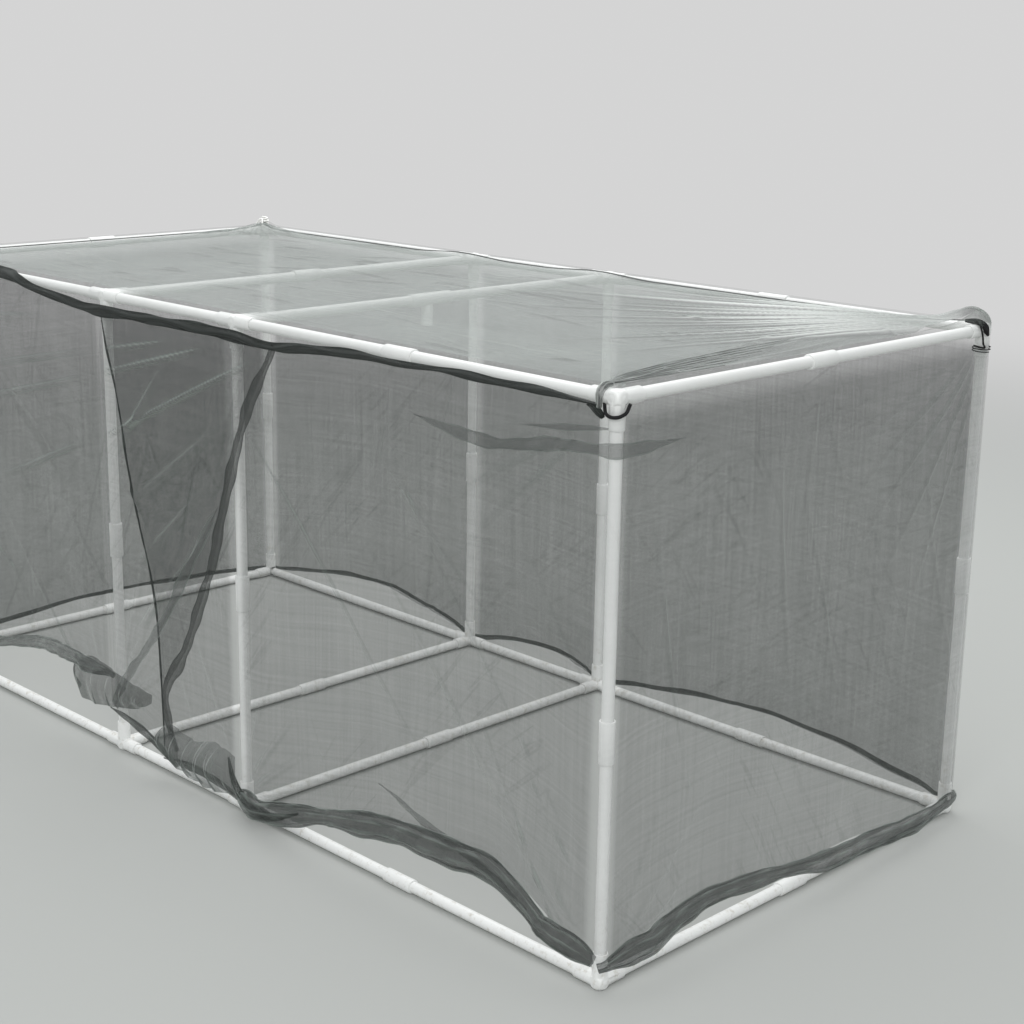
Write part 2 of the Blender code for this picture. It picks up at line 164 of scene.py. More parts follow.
class CageFrameSizes(bpy.types.PropertyGroup):
    """The pipe and fittings: their sizes and colour."""

    pipe_radius: FloatProperty(
        name="Pipe radius", description="Outside radius of the pipe", default=0.010, unit="LENGTH"
    )
    pipe_bore: FloatProperty(
        name="Pipe bore", description="Inside radius of the pipe", default=0.0084, unit="LENGTH"
    )
    socket_radius: FloatProperty(
        name="Socket radius", description="Outside radius of a fitting's arm", default=0.0125,
        unit="LENGTH",
    )
    hub_radius: FloatProperty(
        name="Hub radius", description="Radius of the swelling where a fitting's arms meet",
        default=0.0137, unit="LENGTH",
    )
    coupler_radius: FloatProperty(
        name="Coupler radius", description="Outside radius of a coupler", default=0.0130,
        unit="LENGTH",
    )
    rim: FloatProperty(
        name="Rim", description="Width of the worn bevel round each mouth", default=0.0013,
        unit="LENGTH",
    )
    sides: IntProperty(
        name="Sides", description="How many sides a round piece has", default=40, min=12, max=96
    )
    plastic: FloatVectorProperty(
        name="Plastic", description="Colour of the pipe and fittings",
        default=(0.86, 0.87, 0.855), size=3, subtype="COLOR", min=0, max=1,
    )


class CageNetSizes(bpy.types.PropertyGroup):
    """The net cover: its sizes, weave and colour."""

    stand_off: FloatProperty(
        name="Stand-off", description="From a pipe's axis to the net drawn over it",
        default=0.0144, unit="LENGTH",
    )
    cell: FloatProperty(
        name="Cell", description="Size of the faces that the net's folds are made of",
        default=0.0065, unit="LENGTH",
    )
    thread_pitch: FloatProperty(
        name="Thread pitch", description="From one thread of the mesh to the next",
        default=0.0015, unit="LENGTH",
    )
    cover: FloatProperty(
        name="Cover", description="Share of the light that one layer stops between its threads",
        default=0.29, min=0, max=1, subtype="FACTOR",
    )
    inner_seam: FloatProperty(
        name="Inner seam", description="How far inside the end and back rails the top seam lies",
        default=0.034, unit="LENGTH",
    )
    hem_radius: FloatProperty(
        name="Hem radius", description="Radius of a plain rolled hem between two posts",
        default=0.009, unit="LENGTH",
    )
    colour: FloatVectorProperty(
        name="Net", description="Colour of the net's threads", default=(0.020, 0.026, 0.023),
        size=3, subtype="COLOR", min=0, max=1,
    )


class CageStageSizes(bpy.types.PropertyGroup):
    """The floor and the lamps."""

    floor_colour: FloatVectorProperty(
        name="Floor", description="Colour of the floor", default=(0.45, 0.46, 0.445), size=3,
        subtype="COLOR", min=0, max=1,
    )
    overhead_power: FloatProperty(
        name="Overhead light", description="Power of the wide lamp over the cage", default=95,
        unit="POWER",
    )
    side_power: FloatProperty(
        name="Side light", description="Power of the lamp behind the camera", default=62,
        unit="POWER",
    )
    sky: FloatProperty(
        name="Sky", description="Strength of the even light from all round", default=0.78
    )
    backdrop: FloatProperty(
        name="Backdrop", description="How bright the plain background is", default=0.66
    )


class Number:
    """A number socket in a material. Python's operators on it add Math nodes."""

    def __init__(self, finish, socket):
        self.finish = finish
        self.socket = socket

    def maths(self, operation, *values):
        """Adds a Math node on the values."""
        node = self.finish.node("ShaderNodeMath", {"operation": operation}, dict(enumerate(values)))
        return Number(self.finish, node.outputs[0])

    def __add__(self, other):
        return self.maths("ADD", self, other)

    __radd__ = __add__

    def __sub__(self, other):
        return self.maths("SUBTRACT", self, other)

    def __rsub__(self, other):
        return self.maths("SUBTRACT", other, self)

    def __mul__(self, other):
        return self.maths("MULTIPLY", self, other)

    __rmul__ = __mul__

    def __truediv__(self, other):
        return self.maths("DIVIDE", self, other)

    def most(self, other):
        """The larger of the two."""
        return self.maths("MAXIMUM", self, other)

    def ping_pong(self, other):
        """Up to the other number and down to nought again, over and over."""
        return self.maths("PINGPONG", self, other)

    def rise(self, low, high):
        """Nought at low and one at high, smooth between."""
        node = self.finish.node(
            "ShaderNodeMapRange",
            {"interpolation_type": "SMOOTHSTEP"},
            {"Value": self, "From Min": low, "From Max": high},
        )
        return Number(self.finish, node.outputs["Result"])


class Finish:
    """A material, or the world, and its nodes."""

    def __init__(self, name, kind="materials"):
        self.owner = getattr(bpy.data, kind).new(name)
        self.owner.use_nodes = True
        self.tree = self.owner.node_tree
        self.tree.nodes.clear()

    def node(self, kind, settings=None, inputs=None):
        """Adds a node. Its settings are set first, then each socket gets a value or a link."""
        node = self.tree.nodes.new(kind)
        for key, value in (settings or {}).items():
            setattr(node, key, value)
        for key, value in (inputs or {}).items():
            self.feed(node.inputs[key], value)
        return node

    def feed(self, socket, value):
        """Gives a socket a link or a value, and a colour its alpha."""
        if isinstance(value, Number):
            value = value.socket
        if isinstance(value, bpy.types.NodeSocket):
            self.tree.links.new(value, socket)
        elif isinstance(value, tuple) and len(value) == 3 and socket.type == "RGBA":
            socket.default_value = (*value, 1)
        else:
            socket.default_value = value

    def number(self, socket):
        """A number socket, ready for Python's operators."""
        return Number(self, socket)

    def place(self):
        """A point's place in its object, in metres."""
        return self.node("ShaderNodeTexCoord").outputs["Object"]

    def weave_place(self):
        """A point's place in its cloth, in metres along and down it."""
        return self.node("ShaderNodeUVMap", {"uv_map": "weave"}).outputs["UV"]

    def stretched(self, place, scale):
        """A place scaled by its own number each way."""
        node = self.node("ShaderNodeVectorMath", {"operation": "MULTIPLY"}, {0: place, 1: scale})
        return node.outputs[0]

    def noise(self, place, scale, detail, roughness=0.5, distortion=0.0):
        """Smooth noise from nought to one, about a half."""
        node = self.node(
            "ShaderNodeTexNoise",
            {},
            {
                "Vector": place,
                "Scale": scale,
                "Detail": detail,
                "Roughness": roughness,
                "Distortion": distortion,
            },
        )
        return self.number(node.outputs["Fac"])

    def mix(self, share, first, second):
        """One colour turning into another as the share goes from nought to one."""
        node = self.node("ShaderNodeMix", {"data_type": "RGBA"}, {0: share, 6: first, 7: second})
        return node.outputs[2]

    def bump(self, height, strength, distance):
        """A normal that tilts with the slope of a height."""
        node = self.node(
            "ShaderNodeBump", {}, {"Height": height, "Strength": strength, "Distance": distance}
        )
        return node.outputs["Normal"]

    def surface(self, inputs):
        """Ends the material in one shader, with values or links for its sockets."""
        shader = self.node("ShaderNodeBsdfPrincipled", {}, inputs)
        self.node("ShaderNodeOutputMaterial", {}, {"Surface": shader.outputs[0]})
        return self.owner


def white_plastic(name, colour, roughness):
    """Rigid white plastic: faint mottling, soil splashed low down, and fine scuffs in its gloss."""
    finish = Finish(name)
    place = finish.place()
    height = finish.number(finish.node("ShaderNodeSeparateXYZ", {}, {0: place}).outputs[2])
    mottle = finish.noise(place, 9.0, 4.0, 0.6)
    scuffs = finish.noise(finish.stretched(place, (60.0, 60.0, 9.0)), 4.0, 3.0, 0.7)
    splash = (1 - height.rise(0.0, 0.22)) * finish.noise(place, 70.0, 5.0, 0.7).rise(0.50, 0.72)
    dull = tuple(0.90 * part for part in colour)
    soil = (0.36, 0.31, 0.22)
    clean = finish.mix(mottle.rise(0.35, 0.75) * 0.6, colour, dull)
    shown = finish.mix(splash * 0.45, clean, soil)
    gloss = roughness + 0.16 * scuffs.rise(0.45, 0.8) + 0.25 * splash
    return finish.surface({
        "Base Color": shown,
        "Roughness": gloss,
        "Specular IOR Level": 0.5,
        "Normal": finish.bump(scuffs, 0.10, 0.0004),
    })


def net_fabric(name, colour, pitch, cover, haze, wrinkle_turn=0.0, wrinkles=0.0, fold=None):
    """Fine black mesh. Its warp and weft stop part of the light, and its fibres shine at a slant.

    Cover is what one layer stops between its threads. Streaks where threads lie closer run both
    ways. Wrinkles adds short creases, turned from the cloth's length, that stop more light and
    darken the colour as painted shadow. Where the mesh's attribute taut is high the net is
    stretched open, and where its fold attribute is high its folds stop more light and take on the
    colour fold, a painted sheen as of daylight glancing off folded threads. Its shadow is paler
    than the net looks, because threads scatter light on through the mesh.
    """
    thread_share, streak_share, patch_share = 0.26, 0.22, 0.10
    crease_share, dense_share, taut_share, lit_share = 0.34, 0.42, 0.82, 0.6
    finish = Finish(name)
    place = finish.weave_place()
    drift = finish.noise(place, 22.0, 2.0) * 0.35
    parts = finish.node("ShaderNodeSeparateXYZ", {}, {0: place})
    threads = []
    streaks = []
    for axis in (0, 1):
        count = finish.number(parts.outputs[axis]) / pitch + drift
        threads.append((count.ping_pong(0.5) * 2).rise(0.40, 0.95))
        stretch = tuple(170.0 if other == axis else 2.5 for other in range(3))
        streaks.append(finish.noise(finish.stretched(place, stretch), 1.0, 3.0, 0.7))
    mesh = threads[0].most(threads[1])
    patches = finish.noise(place, 7.0, 4.0, 0.6)
    uneven = streak_share * (streaks[0] + streaks[1] - 1) + patch_share * (patches - 0.5)
    alpha = cover + thread_share * mesh + uneven
    tone_and_crease_shade = patches.rise(0.3, 0.8)
    if wrinkles:
        turned = finish.node(
            "ShaderNodeVectorRotate", {"rotation_type": "Z_AXIS"},
            {"Vector": place, "Angle": wrinkle_turn},
        )
        run = finish.stretched(turned.outputs[0], (2.0, 40.0, 1.0))
        long_noise = finish.noise(run, 1.6, 3.0, 0.55, 0.5)
        lines = long_noise.rise(0.575, 0.615) * (1 - long_noise.rise(0.615, 0.675))
        gaps = finish.noise(place, 3.1, 1.0).rise(0.42, 0.60)
        creases = lines * gaps * wrinkles
        alpha = alpha + crease_share * creases
        # Painted shade: the creases darken the colour, on top of its random patches of tone.
        tone_and_crease_shade = tone_and_crease_shade * (1 - 0.7 * creases)
    taut, dense = (
        finish.number(finish.node("ShaderNodeAttribute", {"attribute_name": key}).outputs["Fac"])
        for key in ("taut", "dense")
    )
    alpha = (alpha + dense_share * dense) * (1 - taut_share * taut)
    path = finish.node("ShaderNodeLightPath")
    lit = finish.number(path.outputs["Is Shadow Ray"]).most(
        finish.number(path.outputs["Is Diffuse Ray"])
    )
    alpha = alpha * (1 - lit_share * lit)
    darker = tuple(0.6 * part for part in colour)
    shown = finish.mix(tone_and_crease_shade, darker, colour)
    # Painted sheen: where the folds lie, the colour turns to fold, as of daylight glancing off them.
    if fold:
        shown = finish.mix(dense * 0.9, shown, fold)
    return finish.surface({
        "Base Color": shown,
        "Roughness": 0.62,
        "Specular IOR Level": 0.4,
        "Sheen Weight": haze,
        "Sheen Roughness": 0.32,
        "Sheen Tint": (0.88, 0.96, 0.91),
        "Alpha": alpha,
        "Normal": finish.bump(mesh, 0.35, 0.0004),
    })


def cord_finish(name, colour, roughness, sheen):
    """A braided elastic or string: fine diagonal strands in its surface."""
    finish = Finish(name)
    place = finish.place()
    strands = finish.noise(finish.stretched(place, (900.0, 900.0, 500.0)), 1.0, 2.0)
    pale = tuple(min(1.0, 1.9 * part + 0.006) for part in colour)
    return finish.surface({
        "Base Color": finish.mix(strands.rise(0.35, 0.8), colour, pale),
        "Roughness": roughness,
        "Sheen Weight": sheen,
        "Specular IOR Level": 0.25,
        "Normal": finish.bump(strands, 0.5, 0.0005),
    })


def lattice(
    name, points, material, wrapped=False, closed=False, poles=False, weave=None, feel=None
):
    """A grid of points joined into a mesh of quads.

    wrapped joins the last column to the first, closed the last row to the first, and poles
    closes each end with a fan about its row's middle. weave is a (u, v) pair for each point,
    and feel holds values from nought to one for each point by name, for the net's finish.
    """
    rows, columns = points.shape[:2]
    index = np.arange(rows * columns).reshape(rows, columns)
    low, high = (index, np.roll(index, -1, 0)) if closed else (index[:-1], index[1:])
    if wrapped:
        corners = [low, np.roll(low, -1, 1), np.roll(high, -1, 1), high]
    else:
        corners = [low[:, :-1], low[:, 1:], high[:, 1:], high[:, :-1]]
    quads = np.stack(corners, axis=-1).reshape(-1, 4)
    vertices = points.reshape(-1, 3)
    loops = [quads.ravel()]
    sizes = [np.full(len(quads), 4)]
    if poles:
        vertices = np.vstack([vertices, points[0].mean(0), points[-1].mean(0)])
        for ring, pole, turn in ((index[0], rows * columns, -1), (index[-1], rows * columns + 1, 1)):
            ring = ring[::turn]
            cap = np.stack([ring, np.roll(ring, -1), np.full(len(ring), pole)], axis=-1)
            loops.append(cap.ravel())
            sizes.append(np.full(len(cap), 3))
    loops = np.concatenate(loops)
    sizes = np.concatenate(sizes)
    mesh = bpy.data.meshes.new(name)
    mesh.vertices.add(len(vertices))
    mesh.vertices.foreach_set("co", vertices.astype(np.float32).ravel())
    mesh.loops.add(len(loops))
    mesh.loops.foreach_set("vertex_index", loops.astype(np.int32))
    mesh.polygons.add(len(sizes))
    mesh.polygons.foreach_set("loop_start", (np.cumsum(sizes) - sizes).astype(np.int32))
    mesh.polygons.foreach_set("loop_total", sizes.astype(np.int32))
    if weave is not None:
        places = weave.reshape(-1, 2)
        if poles:
            places = np.vstack([places, weave[0].mean(0), weave[-1].mean(0)])
        layer = mesh.uv_layers.new(name="weave")
        layer.data.foreach_set("uv", places[loops].astype(np.float32).ravel())
    for key, share in (feel or {}).items():
        values = np.broadcast_to(share, (rows, columns)).ravel()
        if poles:
            values = np.append(values, (0, 0))
        attribute = mesh.attributes.new(key, "FLOAT", "POINT")
        attribute.data.foreach_set("value", values.astype(np.float32))
    mesh.update(calc_edges=True)
    mesh.shade_smooth()
    mesh.materials.append(material)
    return mesh


def add_piece(mesh, body, replaces=()):
    """Puts a finished mesh in the scene as a piece on a body, or with its place baked into its mesh."""
    obj = bpy.data.objects.new(mesh.name, mesh)
    bpy.context.scene.collection.objects.link(obj)
    if body == "turning":
        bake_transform(obj)
    else:
        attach(obj, body)
    if replaces:
        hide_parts(*replaces)
    return obj


def axes_about(direction):
    """Two directions square to the given one and to each other."""
    direction = np.array(direction, float)
    helper = np.array((0.0, 0.0, 1.0)) if abs(direction[2]) < 0.9 else np.array((1.0, 0.0, 0.0))
    first = np.cross(direction, helper)
    first /= np.linalg.norm(first)
    return first, np.cross(direction, first)


def spun(name, profile, start, direction, sides, material):
    """A closed section of (radius, distance) points spun about a line, or one with poles.

    A point is start + distance * direction + radius * (cos a * first + sin a * second).
    """
    radius, distance = np.array(profile, float).T
    poles = radius[0] == 0
    if poles:
        radius, distance = radius[1:-1], distance[1:-1]
    first, second = axes_about(direction)
    angle = np.linspace(0, 2 * pi, sides, endpoint=False)
    spokes = np.cos(angle)[:, None] * first + np.sin(angle)[:, None] * second
    line = np.array(start, float) + distance[:, None] * np.array(direction, float)
    points = line[:, None] + radius[:, None, None] * spokes
    mesh = lattice(name, points, material, wrapped=True, closed=not poles, poles=poles)
    mesh.set_sharp_from_angle(angle=SHARP_ANGLE)
    return mesh


def frame_sizes():
    """The sizes and colour of the pipe and fittings, as the sidebar holds them."""
    return bpy.context.scene.cage_frame


def net_sizes():
    """The sizes and colour of the net, as the sidebar holds them."""
    return bpy.context.scene.cage_net


def coupler_section(low, high, swell=None):
    """A coupler's outside: short bevels at both rims and a barely tapered middle."""
    sizes = frame_sizes()
    swell, rim = swell or sizes.coupler_radius, sizes.rim
    return [
        (sizes.pipe_radius, low),
        (swell - 1.2 * rim, low),
        (swell - 0.4 * rim, low + 0.4 * rim),
        (swell, low + 1.4 * rim),
        (swell - 0.15 * rim, (low + high) / 2),
        (swell, high - 1.4 * rim),
        (swell - 0.4 * rim, high - 0.4 * rim),
        (swell - 1.2 * rim, high),
    ]


def pipe_section(low, high, coupler, swell):
    """A pipe's wall in section, from low to high, with a coupler round it where one is given."""
    sizes = frame_sizes()
    outline = [(sizes.pipe_bore, low), (sizes.pipe_radius, low)]
    if coupler is not None:
        top = coupler + COUPLER_LENGTH / 2
        outline += coupler_section(coupler - COUPLER_LENGTH / 2, top, swell)
        outline.append((sizes.pipe_radius, top))
    return outline + [(sizes.pipe_radius, high), (sizes.pipe_bore, high)]


def piped(node, coupler, material):
    """A pipe along its node's longest side, with its coupler at a distance from its near fitting."""
    low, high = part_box(node)
    span = high - low
    axis = max(range(3), key=lambda k: span[k])
    start = (low + high) / 2
    start[axis] = 0
    direction = np.eye(3)[axis]
    swell = min(frame_sizes().coupler_radius, start.z) if axis != 2 else None
    section = pipe_section(low[axis], high[axis], coupler, swell)
    return spun(node, section, start, direction, frame_sizes().sides, material)


def lower_post(node, material):
    """A lower post pipe with the coupler that it carries, whose bore is open at the top."""
    sizes = frame_sizes()
    low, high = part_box(node)
    foot = (low + high) / 2
    foot.z = 0
    seat = high.z - COUPLER_LENGTH / 2
    section = [
        (sizes.pipe_bore, low.z),
        (sizes.pipe_radius, low.z),
        *coupler_section(high.z - COUPLER_LENGTH, high.z),
        (sizes.pipe_radius + CLEARANCE, high.z),
        (sizes.pipe_radius + CLEARANCE, seat),
        (sizes.pipe_bore, seat),
    ]
    return spun(node, section, foot, (0, 0, 1), sizes.sides, material)


def joined(name, body, added, cut, material):
    """The body with meshes added and others cut away by exact Booleans, as one new mesh."""
    helpers = []
    for mesh in (body, *added, *cut):
        helper = bpy.data.objects.new("helper", mesh)
        bpy.context.scene.collection.objects.link(helper)
        helpers.append(helper)
    for number, helper in enumerate(helpers[1:]):
        modifier = helpers[0].modifiers.new("join", "BOOLEAN")
        modifier.operation = "UNION" if number < len(added) else "DIFFERENCE"
        modifier.object = helper
    bpy.context.view_layer.update()
    graph = bpy.context.evaluated_depsgraph_get()
    made = bpy.data.meshes.new_from_object(helpers[0].evaluated_get(graph))
    made.name = name
    for helper in helpers:
        bpy.data.objects.remove(helper)
    made.materials.clear()
    made.materials.append(material)
    made.polygons.foreach_set("material_index", [0] * len(made.polygons))
    made.shade_smooth()
    made.set_sharp_from_angle(angle=SHARP_ANGLE)
    return made


def arm_section(through):
    """A socket arm's outside from its rounded back, or from its far mouth where it runs through."""
    sizes = frame_sizes()
    outer, rim = sizes.socket_radius, sizes.rim
    lip = ((outer, 1.2 * rim), (outer - 0.35 * rim, 0.35 * rim), (outer - 1.1 * rim, 0))
    mouth = [(radius, SOCKET_REACH - short) for radius, short in lip]
    if through:
        back = [(radius, -distance) for radius, distance in reversed(mouth)]
    else:
        turn = np.linspace(0, pi / 2, 5)
        curve = 0.35 * outer
        back = [(outer - curve * (1 - sin(a)), curve * (1 - cos(a)) - outer) for a in turn]
    return [(0, back[0][1]), *back, *mouth, (0, SOCKET_REACH)]


def fitting_mesh(name, centre, arms, stands, material):
    """A hub with a socket along each arm, flat below where it stands on the ground."""
    sizes = frame_sizes()
    sides = sizes.sides
    bore = sizes.pipe_radius + CLEARANCE
    turn = np.linspace(0, pi, sides // 2 + 1)[1:-1]
    hub_radius = sizes.hub_radius
    ball = [(hub_radius * sin(a), -hub_radius * cos(a)) for a in turn]
    hub = spun("hub", [(0, -hub_radius), *ball, (0, hub_radius)], centre, (0, 0, 1), sides, material)
    through = [(1, 0, 0)] if (-1, 0, 0) in arms and (1, 0, 0) in arms else []
    single = [way for way in arms if not (through and way[0])]
    arms_made = [
        spun("arm", arm_section(way in through), centre, way, sides, material)
        for way in (*through, *single)
    ]
    past = 2 * SOCKET_REACH
    hollow = [(0, SOCKET_SEAT), (bore, SOCKET_SEAT), (bore, past), (0, past)]
    cuts = [spun("hollow", hollow, centre, way, sides, material) for way in arms]
    if stands:
        below = [(0, -0.2), (0.2, -0.2), (0.2, 0), (0, 0)]
        cuts.append(spun("ground", below, (centre[0], centre[1], 0), (0, 0, 1), 4, material))
    return joined(name, hub, arms_made, cuts, material)


def crossbar_with_tee(node, material):
    """The crossbar over the right-hand middle posts, with the long tee whose stub points down."""
    sizes = frame_sizes()
    low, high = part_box(node)
    line = ((low.x + high.x) / 2, 0, HIGH)
    middle = FRONT + TEE_FROM_FRONT
    near, far = middle - TEE_LENGTH / 2, middle + TEE_LENGTH / 2
    outer, rim = sizes.socket_radius, sizes.rim
    body = spun(
        node,
        [
            (sizes.pipe_bore, low.y),
            (sizes.pipe_radius, low.y),
            (sizes.pipe_radius, near),
            (outer - rim, near),
            (outer, near + rim),
            (outer, far - rim),
            (outer - rim, far),
            (sizes.pipe_radius, far),
            (sizes.pipe_radius, high.y),
            (sizes.pipe_bore, high.y),
        ],
        line, (0, 1, 0), sizes.sides, material,
    )
    top = (line[0], middle + STUB_OFFSET, HIGH)
    root, width = 0.0092, outer - 0.0012
    stub = [
        (0, root), (width, root), (width, TEE_STUB - rim), (width - rim, TEE_STUB), (0, TEE_STUB)
    ]
    bore = sizes.pipe_bore
    hollow = [(0, 0), (bore, 0), (bore, 2 * TEE_STUB), (0, 2 * TEE_STUB)]
    down = (0, 0, -1)
    added = [spun("stub", stub, top, down, sizes.sides, material)]
    cut = [spun("hollow", hollow, top, down, sizes.sides, material)]
    return joined(node, body, added, cut, material)


def smooth(value, low, high):
    """Nought at low and one at high, with a smooth rise between."""
    share = np.clip((value - low) / (high - low), 0, 1)
    return share * share * (3 - 2 * share)


def placed(*parts):
    """Coordinates spread to one shape and stacked into points."""
    return np.stack(np.broadcast_arrays(*parts), axis=-1)


def distance_along(path):
    """Each point's distance from a path's start, as the sum of the steps before it."""
    return np.concatenate([[0], np.cumsum(np.linalg.norm(np.diff(path, axis=0), axis=1))])


def gap_to(along, holds):
    """The distance from each place along the cover to the nearest of the places that hold it."""
    return np.min([np.abs(along - hold) for hold in holds], axis=0)


def around(along):
    """The cover's plan: the ground point on the post axes' outline and the way out from it.

    The outline runs from the front left post along the front, round each corner post at the
    net's stand-off, and back again. A distance below nought starts round the front left post.
    """
    stand_off = net_sizes().stand_off
    quarter = pi / 2 * stand_off
    runs = np.array([LENGTH, quarter, WIDTH, quarter, LENGTH, quarter, WIDTH, quarter])
    starts = np.concatenate([[0], np.cumsum(runs)[:-1]])
    corners = np.array([
        (LEFT, FRONT), (RIGHT, FRONT), (RIGHT, FRONT), (RIGHT, BACK),
        (RIGHT, BACK), (LEFT, BACK), (LEFT, BACK), (LEFT, FRONT),
    ])
    facing = radians(1) * np.array([-90, -90, 0, 0, 90, 90, 180, 180])
    place = np.mod(along, runs.sum())
    run = np.searchsorted(starts, place, side="right") - 1
    past = place - starts[run]
    turns = run % 2 == 1
    angle = facing[run] + np.where(turns, past / stand_off, 0)
    out = np.stack([np.cos(angle), np.sin(angle)], axis=-1)
    side = np.stack([-np.sin(angle), np.cos(angle)], axis=-1)
    base = corners[run] + np.where(turns, 0, past)[..., None] * side
    return base, out


def on_skirt(along, height, outward):
    """A point of the cover's sides, at a distance round it, a height and a reach from the axes."""
    base, out = around(along)
    flat = base + outward[..., None] * out
    return np.concatenate([flat, (height * np.ones_like(outward))[..., None]], axis=-1)


def crease(a, b, start, end, width, depth, sharp_start=False):
    """A ridge from start to end: a bell across it, tapering to both ends or strongest at its start."""
    run = np.array(end, float) - np.array(start, float)
    length = np.hypot(*run)
    share = ((a - start[0]) * run[0] + (b - start[1]) * run[1]) / length**2
    off = ((a - start[0]) * run[1] - (b - start[1]) * run[0]) / length
    within = np.clip(share, 0, 1)
    if sharp_start:
        along = smooth(within, 0, 0.08) * (1 - within) ** 0.8
    else:
        along = np.sin(pi * within) ** 0.7
    return depth * np.exp(-((off / width) ** 2)) * along


def fan(a, b, anchor, degrees, reach, width, depth):
    """Ridges that run out from an anchor, one at each angle in degrees from the first axis."""
    total = np.zeros(np.broadcast(a, b).shape)
    for angle in np.radians(degrees):
        end = (anchor[0] + reach * cos(angle), anchor[1] + reach * sin(angle))
        total = np.maximum(total, crease(a, b, anchor, end, width, depth, sharp_start=True))
    return total


def scattered(a, b, seed, count, area, lean, length, width, depth):
    """Ridges strewn over an area, all leaning about the same way. The random draws are seeded."""
    draw = np.random.default_rng(seed)
    total = np.zeros(np.broadcast(a, b).shape)
    for _ in range(count):
        start = np.array([draw.uniform(area[0], area[1]), draw.uniform(area[2], area[3])])
        angle = draw.normal(lean, 0.16)
        end = start + draw.uniform(*length) * np.array([cos(angle), sin(angle)])
        breadth = draw.uniform(*width)
        total += crease(a, b, start, end, breadth, draw.uniform(*depth))
    return total


def ripple(a, b, seed, size, depth):
    """A soft unevenness: a few slow sine waves across each other."""
    draw = np.random.default_rng(seed)
    total = np.zeros(np.broadcast(a, b).shape)
    count = 6
    for _ in range(count):
        angle, phase = draw.uniform(0, pi), draw.uniform(0, 2 * pi)
        wave = size * draw.uniform(0.6, 1.6)
        total += np.sin(2 * pi * (a * cos(angle) + b * sin(angle)) / wave + phase)
    return depth * total / count


def weave_of(points):
    """Each grid point's distance along and down the cloth, in metres, from its middle row."""
    across = np.linalg.norm(np.diff(points, axis=1), axis=-1)
    down = np.linalg.norm(np.diff(points, axis=0), axis=-1)
    u = np.concatenate([[0], np.cumsum(np.median(across, axis=0))])
    v = np.concatenate([[0], np.cumsum(np.median(down, axis=1))])
    return np.stack(np.meshgrid(u, v), axis=-1)


def steepness(depth, across, down):
    """How steeply folds of a given depth rise and fall, from nought to one on a flank."""
    gentle, steep = 0.12, 1.1
    slope = np.hypot(np.gradient(depth, axis=1) / across, np.gradient(depth, axis=0) / down)
    return smooth(slope, gentle, steep)


def cloth(name, points, material, body, replaces=(), feel=None):
    """A sheet of net through a grid of points, as a piece."""
    mesh = lattice(name, points, material, weave=weave_of(points), feel=feel)
    return add_piece(mesh, body, replaces)


def through(points):
    """A smooth height curve through (distance, height) points, as a function of the distance."""
    path = smooth_path(points, 0.01)

    def height(along):
        """The curve's height at a distance, straight between its close points."""
        return np.interp(along, path[:, 0], path[:, 1])

    return height


def seam_height(x):
    """The front seam's height over the ground, at a distance along the frame's middle."""
    return LOW + through(FRONT_SEAM)(x - LEFT)


# Where long creases run, as (distance from the door's left post, height) at each end
DOOR_CREASES = [
    ((0.47, 0.924), (-0.10, 0.812)), ((0.56, 0.937), (-0.13, 0.751)),
    ((0.62, 0.933), (-0.10, 0.613)),
]
SOFT_CREASES = [
    ((0.48, 0.80), (0.03, 0.50)), ((0.43, 0.69), (0.04, 0.36)), ((0.37, 0.55), (0.04, 0.22)),
    ((0.25, 0.86), (0.02, 0.60)),
]
LEFT_CREASES = [
    ((0.00, 0.833), (-0.50, 0.735)), ((0.00, 0.785), (-0.55, 0.650)),
    ((-0.01, 0.662), (-0.45, 0.490)), ((-0.02, 0.895), (-0.60, 0.830)),
]


def long_creases(gap, height, places, width, depth):
    """Ridges between pairs of places, each a (distance from the door's left post, height)."""
    total = np.zeros(np.broadcast(gap, height).shape)
    for start, end in places:
        total = np.maximum(total, crease(gap, height, start, end, width, depth))
    return total


class Side:
    """One upright side of the cover, as a surface over the distance round it and the height."""

    def __init__(self, start, end, posts, top, hem, folds):
        self.start, self.end = start, end
        self.posts = posts
        self.top, self.hem, self.folds = top, hem, folds

    def free(self, along):
        """How far the net is from a post that holds it in: nought on it, one well away."""
        return smooth(gap_to(along, self.posts), 0.006, 0.09)

    def outward(self, along, height):
        """How far out of the axes the net hangs: its stand-off, and its folds where it is loose."""
        loose = self.free(along) * smooth(self.top(along) - height, 0.0, 0.10)
        return net_sizes().stand_off + loose * self.folds(along, height)

    def points(self, along, height, proud):
        """Points of the side, or of what stands proud of it."""
        return on_skirt(along, height, self.outward(along, height) + proud)


def on_post(gap):
    """How open the net is stretched, at a distance from the post that it lies on."""
    return 0.8 * np.exp(-((gap / 0.020) ** 4))


# How far round a rail the net bends from facing out before it leaves for the inner seam
OVER_RAIL = radians(100)


def over_edge(stand_off):
    """Where the net leaves a rail, as a distance out from its axis."""
    return stand_off * cos(OVER_RAIL)


